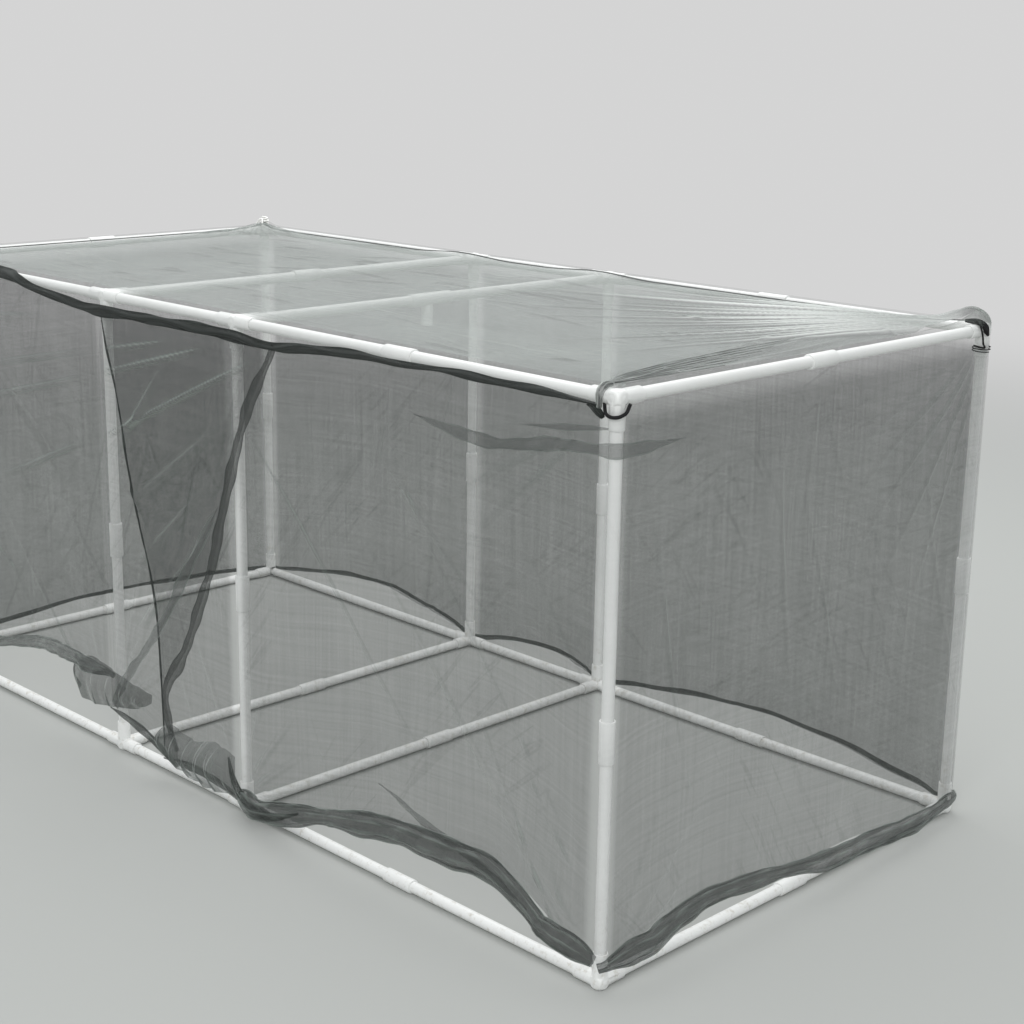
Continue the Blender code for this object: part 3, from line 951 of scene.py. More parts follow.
def side_cloth(name, side, material, over_rail, replaces):
    """A side as a sheet: over the rail from the inner seam where it has one, then down to its hem."""
    sizes = net_sizes()
    span = side.end - side.start
    cell = sizes.cell * (0.65 if span < 1.2 else 1.0)
    columns = int(span / (0.75 * cell)) + 1
    along = np.linspace(side.start, side.end, columns)[None]
    rows = int(HIGH / cell)
    share = np.linspace(0, 1, rows)[:, None]
    top, hem = side.top(along), side.hem(along)
    height = top + (hem - top) * share
    outward = side.outward(along, height)
    points = on_skirt(along, height, outward)
    taut = on_post(gap_to(along, side.posts)) * np.ones_like(height)
    # The folds' steep flanks are marked to stop more light and to take the finish's painted sheen.
    dense = steepness(outward, span / columns, HIGH / rows)
    if over_rail:
        taut = np.maximum(taut, 1 - smooth(HIGH - height, 0.012, 0.045))
        lift = np.linspace(OVER_RAIL, 0, 12)[:-1, None]
        reach = sizes.stand_off * np.cos(lift)
        over = on_skirt(along, HIGH + sizes.stand_off * np.sin(lift), reach * np.ones_like(along))
        inset, dip = inner_seam(along)
        down = np.linspace(1, 0, 7)[:-1, None]
        reach = over_edge(sizes.stand_off) - down * (inset + over_edge(sizes.stand_off))
        z = HIGH + sizes.stand_off * sin(OVER_RAIL) - dip * down**1.3
        inside = on_skirt(along, z, reach)
        points = np.vstack([drawn_up(inside), drawn_up(over), points])
        rail = np.concatenate([np.linspace(0, 1, len(inside)), np.ones(len(over))])
        tent = near_far_corner(along)
        rail = rail[:, None] * (1 - 0.85 * tent)
        taut = np.vstack([rail, taut])
        # The pleats gathered at the far corner are marked the same way, for painted sheen.
        pleats = 0.6 + 0.4 * np.sin(2 * pi * along / 0.011)
        dense = np.vstack([tent * pleats * np.ones((len(rail), 1)), dense])
    return cloth(name, points, material, "frame", replaces, {"taut": taut, "dense": dense})


def drawn_up(points):
    """Points of the cover's top, lifted where ties draw it up over the two back corners."""
    x, y, z = np.moveaxis(points, -1, 0)
    lifted = z + 0 * x
    for corner_x, height, spread in ((RIGHT - 0.022, 0.026, 0.042), (LEFT + 0.010, 0.010, 0.025)):
        across = (x - corner_x) / spread
        deep = (y - BACK + 0.004) / (0.7 * spread)
        lifted = lifted + height * np.exp(-(across**2) - deep**2)
    return placed(x, y, lifted)


def near_far_corner(along):
    """One at the far right corner, where the net is gathered to its tie, and nought well away."""
    corners, _ = skirt_places()
    return np.exp(-(((along - corners[1]) / 0.055) ** 2))


def inner_seam(along):
    """How far inside the rails the top seam lies, and how far it hangs below their tops.

    It is drawn right up to each corner and lies over each crossbar, and hangs between them.
    """
    corners, crossbars = skirt_places()
    gap = gap_to(along, corners)
    near_hold = gap_to(along, (*corners, *crossbars))
    inset = net_sizes().inner_seam * (0.12 + 0.88 * smooth(gap, 0.0, 0.10))
    scallop = 0.5 + 0.5 * np.cos(2 * pi * along / 0.075)
    near = np.exp(-gap / 0.12)
    dip = smooth(near_hold, 0.0, 0.16) * (0.007 - 0.003 * scallop * near)
    return inset + 0.006 * scallop * near, dip


def side_starts():
    """The distances round the cover at which its right, back and left sides start."""
    quarter = pi / 2 * net_sizes().stand_off
    right = LENGTH + quarter
    back = right + WIDTH + quarter
    return right, back, back + LENGTH + quarter


def skirt_places():
    """The distances round the cover of its corners, and of the crossbars along its back."""
    right, back, left = side_starts()
    half = (right - LENGTH) / 2
    corners = [right - half, right + WIDTH + half, left - half, left + WIDTH + half]
    crossbars = [back + RIGHT - x for x in (DOOR_RIGHT, DOOR_LEFT)]
    return corners, crossbars


def arched(posts, base, arches):
    """A hem's height: base at each post, drawn up into an arch between each pair."""
    narrowness = 1.4

    def height(along):
        """The base, plus half a sine wave over each bay, raised to a power to narrow its top."""
        total = np.full_like(along, base)
        for low, high, arch in zip(posts, posts[1:], arches):
            share = np.clip((along - low) / (high - low), 0, 1)
            total = total + arch * np.sin(pi * share) ** narrowness
        return total

    return height


def side_sheets():
    """The five sides of the cover, by name, with the folds that each one hangs in."""
    right, back, left = side_starts()
    quarter = right - LENGTH
    sixth = quarter / 6
    door_left, door_right = DOOR_LEFT - LEFT, DOOR_RIGHT - LEFT
    back_posts = [back + RIGHT - x for x in reversed(POST_X)]
    tall = (0.1, 0.9)

    def level_top(along):
        """The top rail's axis, from where the net goes on over the rail."""
        return np.full_like(along, HIGH)

    def front_top(along):
        """Just under the front seam's middle, and nowhere over the rail's axis."""
        return np.minimum(seam_height(along + LEFT), HIGH - 0.001) - 0.0006

    def lowered(points, start=0.0):
        """A hem's height over the ground, through points measured from the start of their side."""
        height = through(points)

        def hem(along):
            """The ground rail's height, plus the curve at this distance past the start."""
            return LOW + height(along - start)

        return hem

    def waves(along, height, lean, size, phase, depth):
        """Slow folds: a sine wave along the side, shifted with the height, from nought to depth."""
        turn = 2 * pi * (along + lean * height) / size + phase
        return depth * (0.5 + 0.5 * np.sin(turn))

    def folds_left(along, height):
        """Strewn ridges and slow folds, a fan from the door post's foot, and long creases on top."""
        area = (0, 0.75, *tall)
        lines = scattered(
            along, height, 11, 12, area, -0.75, (0.4, 0.9), (0.003, 0.007), (0.002, 0.005)
        )
        foot = fan(
            along, height, (door_left, 0.03), (96, 108, 120, 132, 146, 160), 0.34, 0.008, 0.006
        )
        top = long_creases(along - door_left, height, LEFT_CREASES, 0.0055, 0.0065)
        slow = waves(along, height, 0.5, 0.21, 0.0, 0.007)
        return lines + slow + foot + top + ripple(along, height, 3, 0.16, 0.002)

    def folds_right(along, height):
        """Strewn ridges and slow folds, and fans from the feet of both posts and the near top."""
        area = (1.15, 2.1, 0.15, 0.9)
        lines = scattered(
            along, height, 5, 13, area, -0.95, (0.4, 0.95), (0.003, 0.006), (0.0015, 0.004)
        )
        foot = fan(along, height, (LENGTH, 0.03), (100, 112, 126, 143), 0.42, 0.009, 0.005)
        other = fan(along, height, (door_right, 0.03), (12, 24, 37, 52, 70), 0.36, 0.007, 0.007)
        top = fan(
            along, height, (LENGTH - 0.02, 0.91), (188, 194, 201, 210, 222), 0.55, 0.004, 0.005
        )
        slow = waves(along, height, 0.45, 0.23, 2.1, 0.006)
        return lines + slow + foot + other + top + ripple(along, height, 4, 0.15, 0.002)

    def folds_end(along, height):
        """Strewn ridges and slow folds, and fans from the near foot and the far top corner."""
        area = (right, right + WIDTH, *tall)
        lines = scattered(
            along, height, 8, 11, area, 1.9, (0.4, 0.8), (0.003, 0.007), (0.0015, 0.004)
        )
        foot = fan(along, height, (right, 0.03), (18, 32, 48, 66), 0.38, 0.009, 0.005)
        back_top = (right + WIDTH, HIGH)
        high = fan(along, height, back_top, (192, 201, 211, 222, 234, 247), 0.60, 0.005, 0.006)
        slow = waves(along, height, -0.4, 0.24, 0.9, 0.005)
        return lines + slow + foot + high + ripple(along, height, 6, 0.17, 0.002)

    def folds_back(along, height):
        """Strewn ridges and slow folds."""
        area = (back, back + LENGTH, *tall)
        lines = scattered(
            along, height, 21, 24, area, -1.1, (0.3, 0.8), (0.006, 0.010), (0.002, 0.006)
        )
        slow = waves(along, height, 0.3, 0.20, 1.2, 0.006)
        return lines + slow + ripple(along, height, 7, 0.18, 0.002)

    def folds_far(along, height):
        """Strewn ridges and slow folds, wider apart than the back's."""
        area = (left, left + WIDTH, *tall)
        lines = scattered(
            along, height, 31, 12, area, -1.2, (0.3, 0.8), (0.004, 0.009), (0.002, 0.005)
        )
        slow = waves(along, height, 0.4, 0.22, 2.7, 0.006)
        return lines + slow + ripple(along, height, 9, 0.18, 0.002)

    base = 0.020
    return {
        "net_front_left": Side(
            -sixth, door_left - 0.0006, (0, door_left), front_top, lowered(FRONT_LEFT_HEM),
            folds_left,
        ),
        "net_front_right": Side(
            door_right + 0.0006, LENGTH + sixth, (door_right, LENGTH), front_top,
            lowered(FRONT_RIGHT_HEM), folds_right,
        ),
        "net_right_end": Side(
            LENGTH + sixth, right + WIDTH + 5 * sixth,
            (right - quarter / 2, right + WIDTH + quarter / 2), level_top,
            lowered(RIGHT_END_HEM, right), folds_end,
        ),
        "net_back": Side(
            back - sixth, back + LENGTH + sixth, back_posts, level_top,
            arched(back_posts, base, (0.05, 0.03, 0.05)), folds_back,
        ),
        "net_left_end": Side(
            back + LENGTH + sixth, left + WIDTH + 5 * sixth,
            (left - quarter / 2, left + WIDTH + quarter / 2), level_top,
            arched((left, left + WIDTH), base, (0.03,)), folds_far,
        ),
    }


def tube(name, path, radius, material, sides, folds=None, flat=1.0, up=(0, 0, 1)):
    """A round section carried along a path, with a radius for all of it or for each point.

    Two directions square to the path are made from the one called up, and flat squeezes the
    section across that one. folds is (count, depth, twist, seed): pleats run along the tube
    and wind round it, in radians a metre, and depth is a share of the radius.
    """
    ahead = np.roll(path, -1, 0) - np.roll(path, 1, 0)
    ahead[0], ahead[-1] = path[1] - path[0], path[-1] - path[-2]
    ahead /= np.linalg.norm(ahead, axis=1)[:, None]
    side = np.cross(ahead, np.array(up, float))
    side /= np.linalg.norm(side, axis=1)[:, None]
    over = np.cross(side, ahead)
    run = distance_along(path)[:, None]
    angle = np.linspace(0, 2 * pi, sides, endpoint=False)[None]
    size = np.reshape(radius, (-1, 1)) * np.ones((len(path), sides))
    feel = None
    if folds:
        count, depth, twist, seed = folds
        draw = np.random.default_rng(seed)
        first, second, third, fourth = draw.uniform(0, 2 * pi, 4)
        size = size * (
            1 + depth * np.cos(count * angle + twist * run + first)
            + 0.5 * depth * np.cos((2 * count + 1) * angle - 0.6 * twist * run + second)
            + 0.6 * depth * np.sin(draw.uniform(30, 45) * run + third)
            + 0.4 * depth * np.sin(draw.uniform(70, 95) * run + 2 * angle + fourth)
        )
        # The pleats' ridges are marked to stop more light and to take the finish's painted sheen as
        # pale lines.
        ridge = size / size.mean(axis=1, keepdims=True) - 1
        feel = {"dense": 0.6 * smooth(ridge, 0.3 * depth, 1.5 * depth)}
    spokes = -np.cos(angle)[..., None] * flat * side[:, None]
    spokes = spokes + np.sin(angle)[..., None] * over[:, None]
    points = path[:, None] + size[..., None] * spokes
    weave = placed(run, angle * np.mean(radius))
    return lattice(name, points, material, wrapped=True, poles=True, weave=weave, feel=feel)


def smooth_path(points, spacing):
    """A curve through the points: cubic between each pair, with its slopes from their neighbours."""
    points = np.array(points, float)
    row = np.vstack([2 * points[0] - points[1], points, 2 * points[-1] - points[-2]])
    before, start, end, after = row[:-3], row[1:-2], row[2:-1], row[3:]
    steps = np.maximum(2, (np.linalg.norm(end - start, axis=1) / spacing).astype(int))
    piece = np.repeat(np.arange(len(steps)), steps)
    t = np.concatenate([np.arange(count) / count for count in steps])[:, None]
    p0, p1, p2, p3 = (group[piece] for group in (before, start, end, after))
    curve = 0.5 * (
        2 * p1 + (p2 - p0) * t + (2 * p0 - 5 * p1 + 4 * p2 - p3) * t**2
        + (3 * p1 - p0 - 3 * p2 + p3) * t**3
    )
    return np.vstack([curve, points[-1]])


def net_materials():
    """The net's finishes: one layer a side, a top pale with dust and painted sheen, doubled seams and
    hems.
    """
    sizes = net_sizes()
    colour = tuple(sizes.colour)
    # Lighter than the threads, for the top and the doubled net: partly dust, partly painted sheen of
    # daylight glancing off them.
    dust_and_sheen = tuple(0.07 + 1.6 * part for part in colour)
    pitch, cover = sizes.thread_pitch, sizes.cover
    made = bpy.data.materials
    if "net_top" not in made:
        # Painted sheen on folds: a grey for the sides, hems and doubled net, near white for the top.
        fold_sheen, pale = (0.24, 0.275, 0.25), (0.74, 0.76, 0.74)
        for name, turn in NET_LEANS.items():
            net_fabric(name, colour, pitch, cover, 0.45, turn, 0.22, fold_sheen)
        net_fabric("net_top", dust_and_sheen, pitch, cover + 0.14, 1.0, 0.05, 0.7, pale)
        net_fabric("net_doubled", dust_and_sheen, pitch, cover + 0.10, 0.8, fold=fold_sheen)
        net_fabric("net_seam", colour, pitch, cover + 0.58, 0.06)
        net_fabric("net_edge", colour, pitch, cover + 0.24, 0.12)
        net_fabric("net_hem", colour, pitch, cover + 0.16, 0.6, fold=fold_sheen)
    return made


def plastic_materials():
    """The pipe's finish and the fittings', which are a little brighter and glossier."""
    made = bpy.data.materials
    if "pipe_finish" not in made:
        colour = tuple(frame_sizes().plastic)
        white_plastic("pipe_finish", colour, 0.36)
        white_plastic("fitting_finish", tuple(min(1, 1.02 * part) for part in colour), 0.30)
    return made["pipe_finish"], made["fitting_finish"]


def strip(name, surface, path, width, proud, material, body, seed, ends=(0.45, 0.45)):
    """A ribbon of doubled net on a surface, along a path of (along, height) points.

    Its edges waver a little, and it stands proud of the surface in a soft roll. ends says how
    wide it still is at its start and its end, as shares of its width.
    """
    path = smooth_path(path, 0.005)
    ahead = np.gradient(path, axis=0)
    ahead /= np.linalg.norm(ahead, axis=1)[:, None]
    square = np.stack([-ahead[:, 1], ahead[:, 0]], axis=1)
    run = distance_along(path)
    across = np.linspace(-0.5, 0.5, 9)[None]
    fade = min(0.09, 0.4 * run[-1])
    taper = ends[0] + (1 - ends[0]) * smooth(run, 0, fade)
    taper = taper * (ends[1] + (1 - ends[1]) * smooth(run[-1] - run, 0, fade))
    waver = 1 + 0.16 * np.sin(run * 41 + seed) + 0.10 * np.sin(run * 97 + 2 * seed)
    offset = across * (width * waver * taper)[:, None]
    place = path[:, None] + offset[..., None] * square[:, None]
    pleat = 0.35 * np.cos(3 * pi * across + 0.8 * np.sin(23 * run + seed)[:, None])
    lift = proud * (1.0 + 0.9 * np.cos(pi * across) + pleat)
    points = surface(place[..., 0], place[..., 1], lift)
    # The strip's edges are marked to stop more light and to take the finish's painted sheen.
    edge = 0.5 * smooth(np.abs(across), 0.30, 0.5) * np.ones_like(offset)
    return cloth(name, points, material, body, feel={"dense": edge})


def along_front(x, z, proud):
    """A place on the cover's front as a point: x along it, z up, and how far it stands proud."""
    stand_off = net_sizes().stand_off
    over = np.clip(z - HIGH, 0, stand_off)
    out = np.sqrt(np.maximum(stand_off**2 - over**2, 0)) + proud
    return placed(x, FRONT - out, z)


def bunch(name, path, radii, material, count, depth, flat, seed, up=(0, 0, 1)):
    """Gathered net: a roll of count pleats along a path of points, with a radius at each."""
    thick = smooth_path(np.column_stack([path, radii]), 0.004)
    size = np.maximum(thick[:, 3], 0.0006)
    mesh = tube(
        name, thick[:, :3], size, material, 30, folds=(count, depth, 26.0, seed), flat=flat, up=up
    )
    return add_piece(mesh, "frame")


def veil(name, upper, lower, bulge, pleats, depth, material, body, seed):
    """A slack sheet between two edges of (x, z) points on the cover's front, blown out between.

    A point is shared between the edges by how far down it lies. The pleats run from edge to
    edge as a sine wave along them that wanders on its way, and deepen towards the lower one.
    """
    columns, rows = 140, 50
    share = np.linspace(0, 1, columns)
    edges = []
    for edge in (upper, lower):
        path = smooth_path(edge, 0.002)
        run = distance_along(path)
        edges.append([np.interp(share, run / run[-1], path[:, axis]) for axis in (0, 1)])
    down = np.linspace(0, 1, rows)[:, None]
    x, z = (high * (1 - down) + low * down for high, low in zip(*edges))
    sides = smooth(share, 0, 0.12) * smooth(1 - share, 0, 0.12)
    turn = 2 * pi * pleats * share + seed + 0.9 * np.sin(3 * down + 4 * share + seed)
    folds = depth * (0.25 + 0.75 * down) * (np.sin(turn) + 0.4 * np.sin(2.3 * turn + 1)) * sides
    out = 0.003 + sides * bulge * np.sin(pi * down**0.8) + folds
    y = FRONT - net_sizes().stand_off - out
    points = placed(x, y, z + 0.3 * folds * down)
    tall = np.abs(np.array(edges[0][1]) - edges[1][1]).max()
    # Steep folds and the lower rim are marked to stop more light and to take the painted sheen.
    dense = steepness(folds, np.ptp(x) / columns, tall / rows)
    rim = smooth(down, 0.95, 1.0)
    return cloth(name, points, material, body, feel={"dense": 0.35 * np.maximum(dense, rim)})


class CAGE_OT_pipes(bpy.types.Operator):
    """Makes every post and rail as round pipe with its coupler."""

    bl_idname = "cage.pipes"
    bl_label = "Pipes and couplers"

    def execute(self, context):
        pipe, _ = plastic_materials()
        for name, node in frame["nodes"].items():
            if node["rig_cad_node"] == "top_crossbar_mid_right":
                mesh = crossbar_with_tee(name, pipe)
            elif name.startswith("post_") and name.endswith("_lower"):
                mesh = lower_post(name, pipe)
            elif name.startswith("post_"):
                mesh = piped(name, None, pipe)
            elif "rail" in name or "crossbar" in name:
                mesh = piped(name, self.coupler_place(name), pipe)
            else:
                continue
            mesh.name = f"{name}_pipe"
            add_piece(mesh, "frame", [name])
        return {"FINISHED"}

    @staticmethod
    def coupler_place(name):
        """Where a rail's coupler is along the frame, or None in the short bays."""
        if name.endswith("_end") or "crossbar" in name:
            return (FRONT + BACK) / 2
        return DOOR_RIGHT + RIGHT_BAY_COUPLER if name.endswith("_right") else None


class CAGE_OT_fittings(bpy.types.Operator):
    """Makes the three-way and four-way fittings."""

    bl_idname = "cage.fittings"
    bl_label = "Fittings"

    def execute(self, context):
        _, fitting = plastic_materials()
        for level, height, up in (("bottom", LOW, 1), ("top", HIGH, -1)):
            for row, y in ROW_Y.items():
                inward = (0, 1 if row == "front" else -1, 0)
                for column, x in zip(COLUMNS, POST_X):
                    arms = [inward, (0, 0, up)]
                    if column != "right":
                        arms.append((1, 0, 0))
                    if column != "left":
                        arms.append((-1, 0, 0))
                    node = f"{level}_fitting_{row}_{column}"
                    name = f"{node}_moulding"
                    mesh = fitting_mesh(name, (x, y, height), arms, level == "bottom", fitting)
                    add_piece(mesh, "frame", [node])
        return {"FINISHED"}


class CAGE_OT_top_net(bpy.types.Operator):
    """Makes the cover's top sheet, from the front seam over the front rail to the inner seam."""

    bl_idname = "cage.top_net"
    bl_label = "Top net"

    def execute(self, context):
        nets = net_materials()
        top, seam = nets["net_top"], nets["net_seam"]
        points, dense = self.points()
        taut = 1 - smooth(points[..., 1], FRONT + 0.004, FRONT + 0.020)
        sheet = cloth("top_net", points, top, "frame", ["net_top"], {"taut": taut, "dense": dense})
        sides = [self.seam_band(seam), *self.inner_seams(seam)]
        return {"FINISHED"}

    @staticmethod
    def points():
        """The sheet's grid: up the front, round the front rail, then back across the frame.

        Each bay sags between its crossbars, gathers run out from the two back corners, and
        the edge hangs in scallops to the inner seam.
        """
        sizes = net_sizes()
        stand_off = sizes.stand_off
        columns = int(1.2 * LENGTH / sizes.cell) + 1
        share = 1 - np.linspace(1, 0, columns)[None] ** 1.3
        flat_rows = int(WIDTH / (0.8 * sizes.cell)) + 1
        turn = np.linspace(0, pi / 2, 10)[:-1, None]
        lean = stand_off * sin(radians(15))
        x_front = LEFT - lean + (LENGTH + 2 * lean) * share
        seam = np.minimum(seam_height(x_front), HIGH - 0.001)
        drop = np.linspace(0, 1, 7)[:-1, None]
        apron_z = seam + (HIGH - seam) * drop
        bulge = 0.004 * np.sin(pi * drop) * (1 + np.sin(23 * x_front))
        apron = placed(x_front, FRONT - stand_off - bulge, apron_z)
        over = placed(x_front, FRONT - stand_off * np.cos(turn), HIGH + stand_off * np.sin(turn))
        right, back, left = side_starts()
        inset_back, dip_back = inner_seam(back + RIGHT - x_front)
        depth = np.linspace(0, 1, flat_rows)[:, None]
        y = FRONT + (WIDTH - inset_back) * depth
        inset_right, dip_right = inner_seam(right + y - FRONT)
        inset_left, dip_left = inner_seam(left + BACK - y)
        fade = smooth(y, FRONT, FRONT + 0.05)
        low = LEFT - lean * (1 - fade) + inset_left * fade
        high = RIGHT + lean * (1 - fade) - inset_right * fade
        x = low + (high - low) * share
        folds, streaks = CAGE_OT_top_net.folds(x, y)
        z = HIGH + stand_off + folds - CAGE_OT_top_net.sag(x, y)
        edge = 0.035
        z = z - dip_back * np.exp(-(((1 - depth) * WIDTH) / edge) ** 2)
        z = z - fade * dip_left * np.exp(-(((x - low) / edge) ** 2))
        z = z - fade * dip_right * np.exp(-(((high - x) / edge) ** 2))
        flat = drawn_up(placed(x, y, z))
        front = np.vstack([apron, over])
        # Steep flanks and pleats are marked to stop more light and to be painted pale as sheen.
        steep = 0.7 * steepness(folds, np.gradient(share[0])[None] * LENGTH, WIDTH / flat_rows)
        dense = np.maximum(steep, streaks)
        return np.vstack([front, flat]), np.vstack([np.zeros(front.shape[:2]), dense])

    @staticmethod
    def sag(x, y):
        """How far each bay hangs between its crossbars."""
        sag = np.zeros_like(x)
        for low, high in zip(POST_X, POST_X[1:]):
            share = np.clip((x - low) / (high - low), 0, 1)
            sag = np.maximum(sag, 0.011 * (high - low) * np.sin(pi * share))
        return sag * np.sin(pi * np.clip((y - FRONT) / WIDTH, 0, 1))

    @staticmethod
    def folds(x, y):
        """How far the top's pleats and wrinkles stand up from it, and where its pleats are."""
        inside = smooth(y, FRONT, FRONT + 0.04) * smooth(BACK - y, 0.0, 0.02)
        inside = inside * smooth(x - LEFT, 0, 0.03) * smooth(RIGHT - x, 0, 0.03)
        tie = (RIGHT - 0.01, BACK - 0.02)
        draw = np.random.default_rng(12)
        pleats = np.zeros_like(x)
        for share in np.linspace(0, 1, 24):
            turn = 181.5 + 76 * share**1.3 + draw.uniform(-1.3, 1.3)
            reach = draw.uniform(0.6, 1.0) * (1 - 0.25 * share)
            width = draw.uniform(0.0035, 0.0080)
            pleats = np.maximum(pleats, fan(x, y, tie, [turn], reach, width, 0.0085))
        corner = fan(x, y, (LEFT + 0.02, BACK - 0.03), range(-84, 2, 11), 0.30, 0.009, 0.010)
        near = fan(x, y, (RIGHT - 0.02, FRONT + 0.03), (90.5, 94, 98, 104), 0.62, 0.006, 0.008)
        area = (LEFT, RIGHT, FRONT, BACK)
        small = scattered(
            x, y, 2, 70, area, 0.05, (0.05, 0.24), (0.0045, 0.007), (0.001, 0.003)
        )
        height = pleats + corner + near + small + ripple(x, y, 1, 0.3, 0.0012)
        from_tie = np.hypot(x - tie[0], y - tie[1])
        # Where the pleats are, for the pale painted sheen that the top's finish gives them.
        streaks = smooth(pleats, 0.0008, 0.0055) * (0.35 + 0.65 * smooth(from_tie, 0.05, 0.42))
        return inside * height, inside * streaks

    @staticmethod
    def seam_band(material):
        """The doubled band along the front seam, which hides the sides' top edge.

        It lies in three soft pleats, narrows to nothing at the right-hand post, and its lower
        edge wavers.
        """
        x = np.linspace(LEFT, RIGHT - 0.022, 400)[:, None]
        across = np.linspace(-0.5, 0.5, 11)[None]
        loose = 1 - smooth(x, DOOR_RIGHT + 0.05, DOOR_RIGHT + 0.45)
        width = 0.012 + 0.008 * loose + 0.002 * np.sin(17 * x) + 0.0018 * np.sin(43 * x)
        width = width * (0.35 + 0.65 * smooth(RIGHT - x, 0.02, 0.10))
        z = seam_height(x) + 0.001 + across * width + 0.0010 * np.sin(29 * x)
        crumple = np.cos(3 * pi * across + 2 * np.sin(31 * x) + 1.3 * np.sin(11 * x))
        roll = 0.0028 * np.cos(pi * across) + (0.0009 + 0.0012 * loose) * crumple
        points = along_front(x, z, 0.0022 + roll)
        edge = 0.7 * smooth(np.abs(across), 0.25, 0.5) + 0.5 * loose * smooth(crumple, 0.2, 1.0)
        return cloth("front_seam_band", points, material, "frame", feel={"dense": edge})

    @staticmethod
    def inner_seams(material):
        """The doubled seams inside the back and end rails."""
        made = []
        _, back, left = side_starts()
        runs = (
            ("back_inner_seam", back + 0.02, back + LENGTH - 0.02),
            ("left_inner_seam", left + 0.02, left + WIDTH - 0.02),
        )
        for name, start, end in runs:
            along = np.linspace(start, end, int((end - start) / 0.006))[:, None]
            inset, dip = inner_seam(along)
            across = np.linspace(-0.5, 0.5, 6)[None]
            width = 0.010 + 0.002 * np.sin(37 * along)
            reach = -inset - across * width
            z = HIGH + net_sizes().stand_off - dip + 0.0012 + 0.0016 * np.cos(pi * across)
            points = on_skirt(along * np.ones_like(across), z, reach)
            made.append(cloth(name, points, material, "frame"))
        return made


class CAGE_OT_side_nets(bpy.types.Operator):
    """Makes the cover's five sides with their rolled hems."""

    bl_idname = "cage.side_nets"
    bl_label = "Side nets"

    NETS = {
        "net_front_left": "net_front", "net_front_right": "net_front", "net_right_end": "net_end",
        "net_back": "net_inner", "net_left_end": "net_far",
    }

    def execute(self, context):
        nets = net_materials()
        for number, (name, side) in enumerate(side_sheets().items()):
            over_rail = "front" not in name
            material = nets[self.NETS[name]]
            sheet = side_cloth(f"{name}_cloth", side, material, over_rail, [name])
            rolled = nets["net_doubled" if name == "net_front_left" else "net_hem"]
            trims = [self.hem(name, side, rolled, number)]
            if name == "net_front_right":
                trims.append(self.low_fold(side, nets["net_doubled"]))
                trims += self.corner_gathers(nets["net_seam"], nets["net_top"])
                trims.append(self.right_foot(nets["net_hem"]))
            if name == "net_front_left":
                trims.append(self.left_foot(nets["net_hem"]))
            if name == "net_right_end":
                trims += self.corner_folds(nets["net_doubled"])
            side.end - side.start
        return {"FINISHED"}

    @staticmethod
    def hem(name, side, material, seed):
        """The hem rolled up along a side's foot: loose and pleated, and thinner near each post."""
        start, end = side.start + 0.004, side.end - 0.004
        along = np.linspace(start, end, int((end - start) / 0.006) + 2)
        share = HEM_SHARES[name]
        loose = side.free(along)
        gap = gap_to(along, side.posts)
        swell = 1 + 0.16 * np.sin(11 * along + seed) + 0.10 * np.sin(27 * along + 2 * seed)
        thick = loose if name == "net_front_left" else smooth(gap, -0.03, 0.05)
        radius = net_sizes().hem_radius * (0.5 + (share - 0.5) * thick) * swell
        height = np.maximum(side.hem(along) - 0.3 * radius, 1.12 * radius + 0.001)
        lie = 0.012 * loose * (1 + 0.5 * np.sin(9 * along + seed))
        reach = side.outward(along, side.hem(along)) + 0.3 * radius + lie
        path = on_skirt(along, height, reach)
        roll = tube(
            f"{name}_hem", path, radius, material, 40, folds=(7, 0.13, 9.0, seed), flat=0.72,
        )
        return add_piece(roll, "frame")

    @staticmethod
    def low_fold(side, material):
        """The slanting doubled fold low on the right-hand front panel."""
        path = [(1.612, 0.187), (1.802, 0.140), (1.979, 0.088)]
        return strip(
            "low_fold", side.points, path, 0.016, 0.0015, material, "frame", seed=1, ends=(0.1, 0.1)
        )

    @staticmethod
    def corner_gathers(bunched, drawn):
        """The net bunched beside the near right-hand post and drawn over the front rail.

        From there it runs on as long parallel folds beside the end rail.
        """
        out = net_sizes().stand_off
        x, y, z = RIGHT, FRONT, HIGH
        made = [bunch(
            "corner_bunch",
            [
                (x - 0.044, y - out - 0.002, z - 0.014), (x - 0.033, y - out - 0.002, z - 0.015),
                (x - 0.024, y - out - 0.003, z - 0.019), (x - 0.017, y - out - 0.003, z - 0.024),
                (x - 0.012, y - out - 0.002, z - 0.029),
            ],
            (0.0020, 0.0052, 0.0068, 0.0062, 0.0034), bunched,
            count=7, depth=0.30, flat=0.6, seed=3, up=(0, -1, 0),
        )]
        over = out + 0.002
        made.append(bunch(
            "corner_wrap",
            [
                (x - 0.021, y - out - 0.001, z - 0.016), (x - 0.021, y - out - 0.0005, z + 0.003),
                (x - 0.021, y - 0.62 * out, z + 0.80 * over), (x - 0.020, y - 0.1 * out, z + over),
                (x - 0.019, y + 0.012, z + over),
            ],
            (0.0026, 0.0044, 0.0050, 0.0046, 0.0020), drawn,
            count=6, depth=0.30, flat=1.2, seed=5, up=(1, 0, 0.2),
        ))
        for k in range(7):
            path = [
                (x - 0.026, y - 0.002, z + over), (x - 0.024 - 0.002 * k, y + 0.020, z + over),
                (x - 0.018 - 0.007 * k, y + 0.080, z + over),
                (x - 0.018 - 0.012 * k, y + 0.160 + 0.02 * k, z + 0.95 * over),
                (x - 0.020 - 0.015 * k, y + 0.270 + 0.05 * k, z + 0.84 * over),
            ]
            radii = (0.0016, 0.0018, 0.0017, 0.0014, 0.0006)
            made.append(bunch(
                f"corner_gather_{k + 1}", path, radii, drawn,
                count=3, depth=0.2, flat=0.8, seed=6 + k, up=(1, 0, 0.2),
            ))
        return made

    @staticmethod
    def corner_folds(material):
        """The doubled folds that go round the near right-hand post just below the seam."""

        def surface(along, height, proud):
            """Points round the post at the net's stand-off and a millimetre, and what is proud."""
            return on_skirt(along, height, net_sizes().stand_off + 0.001 + proud)

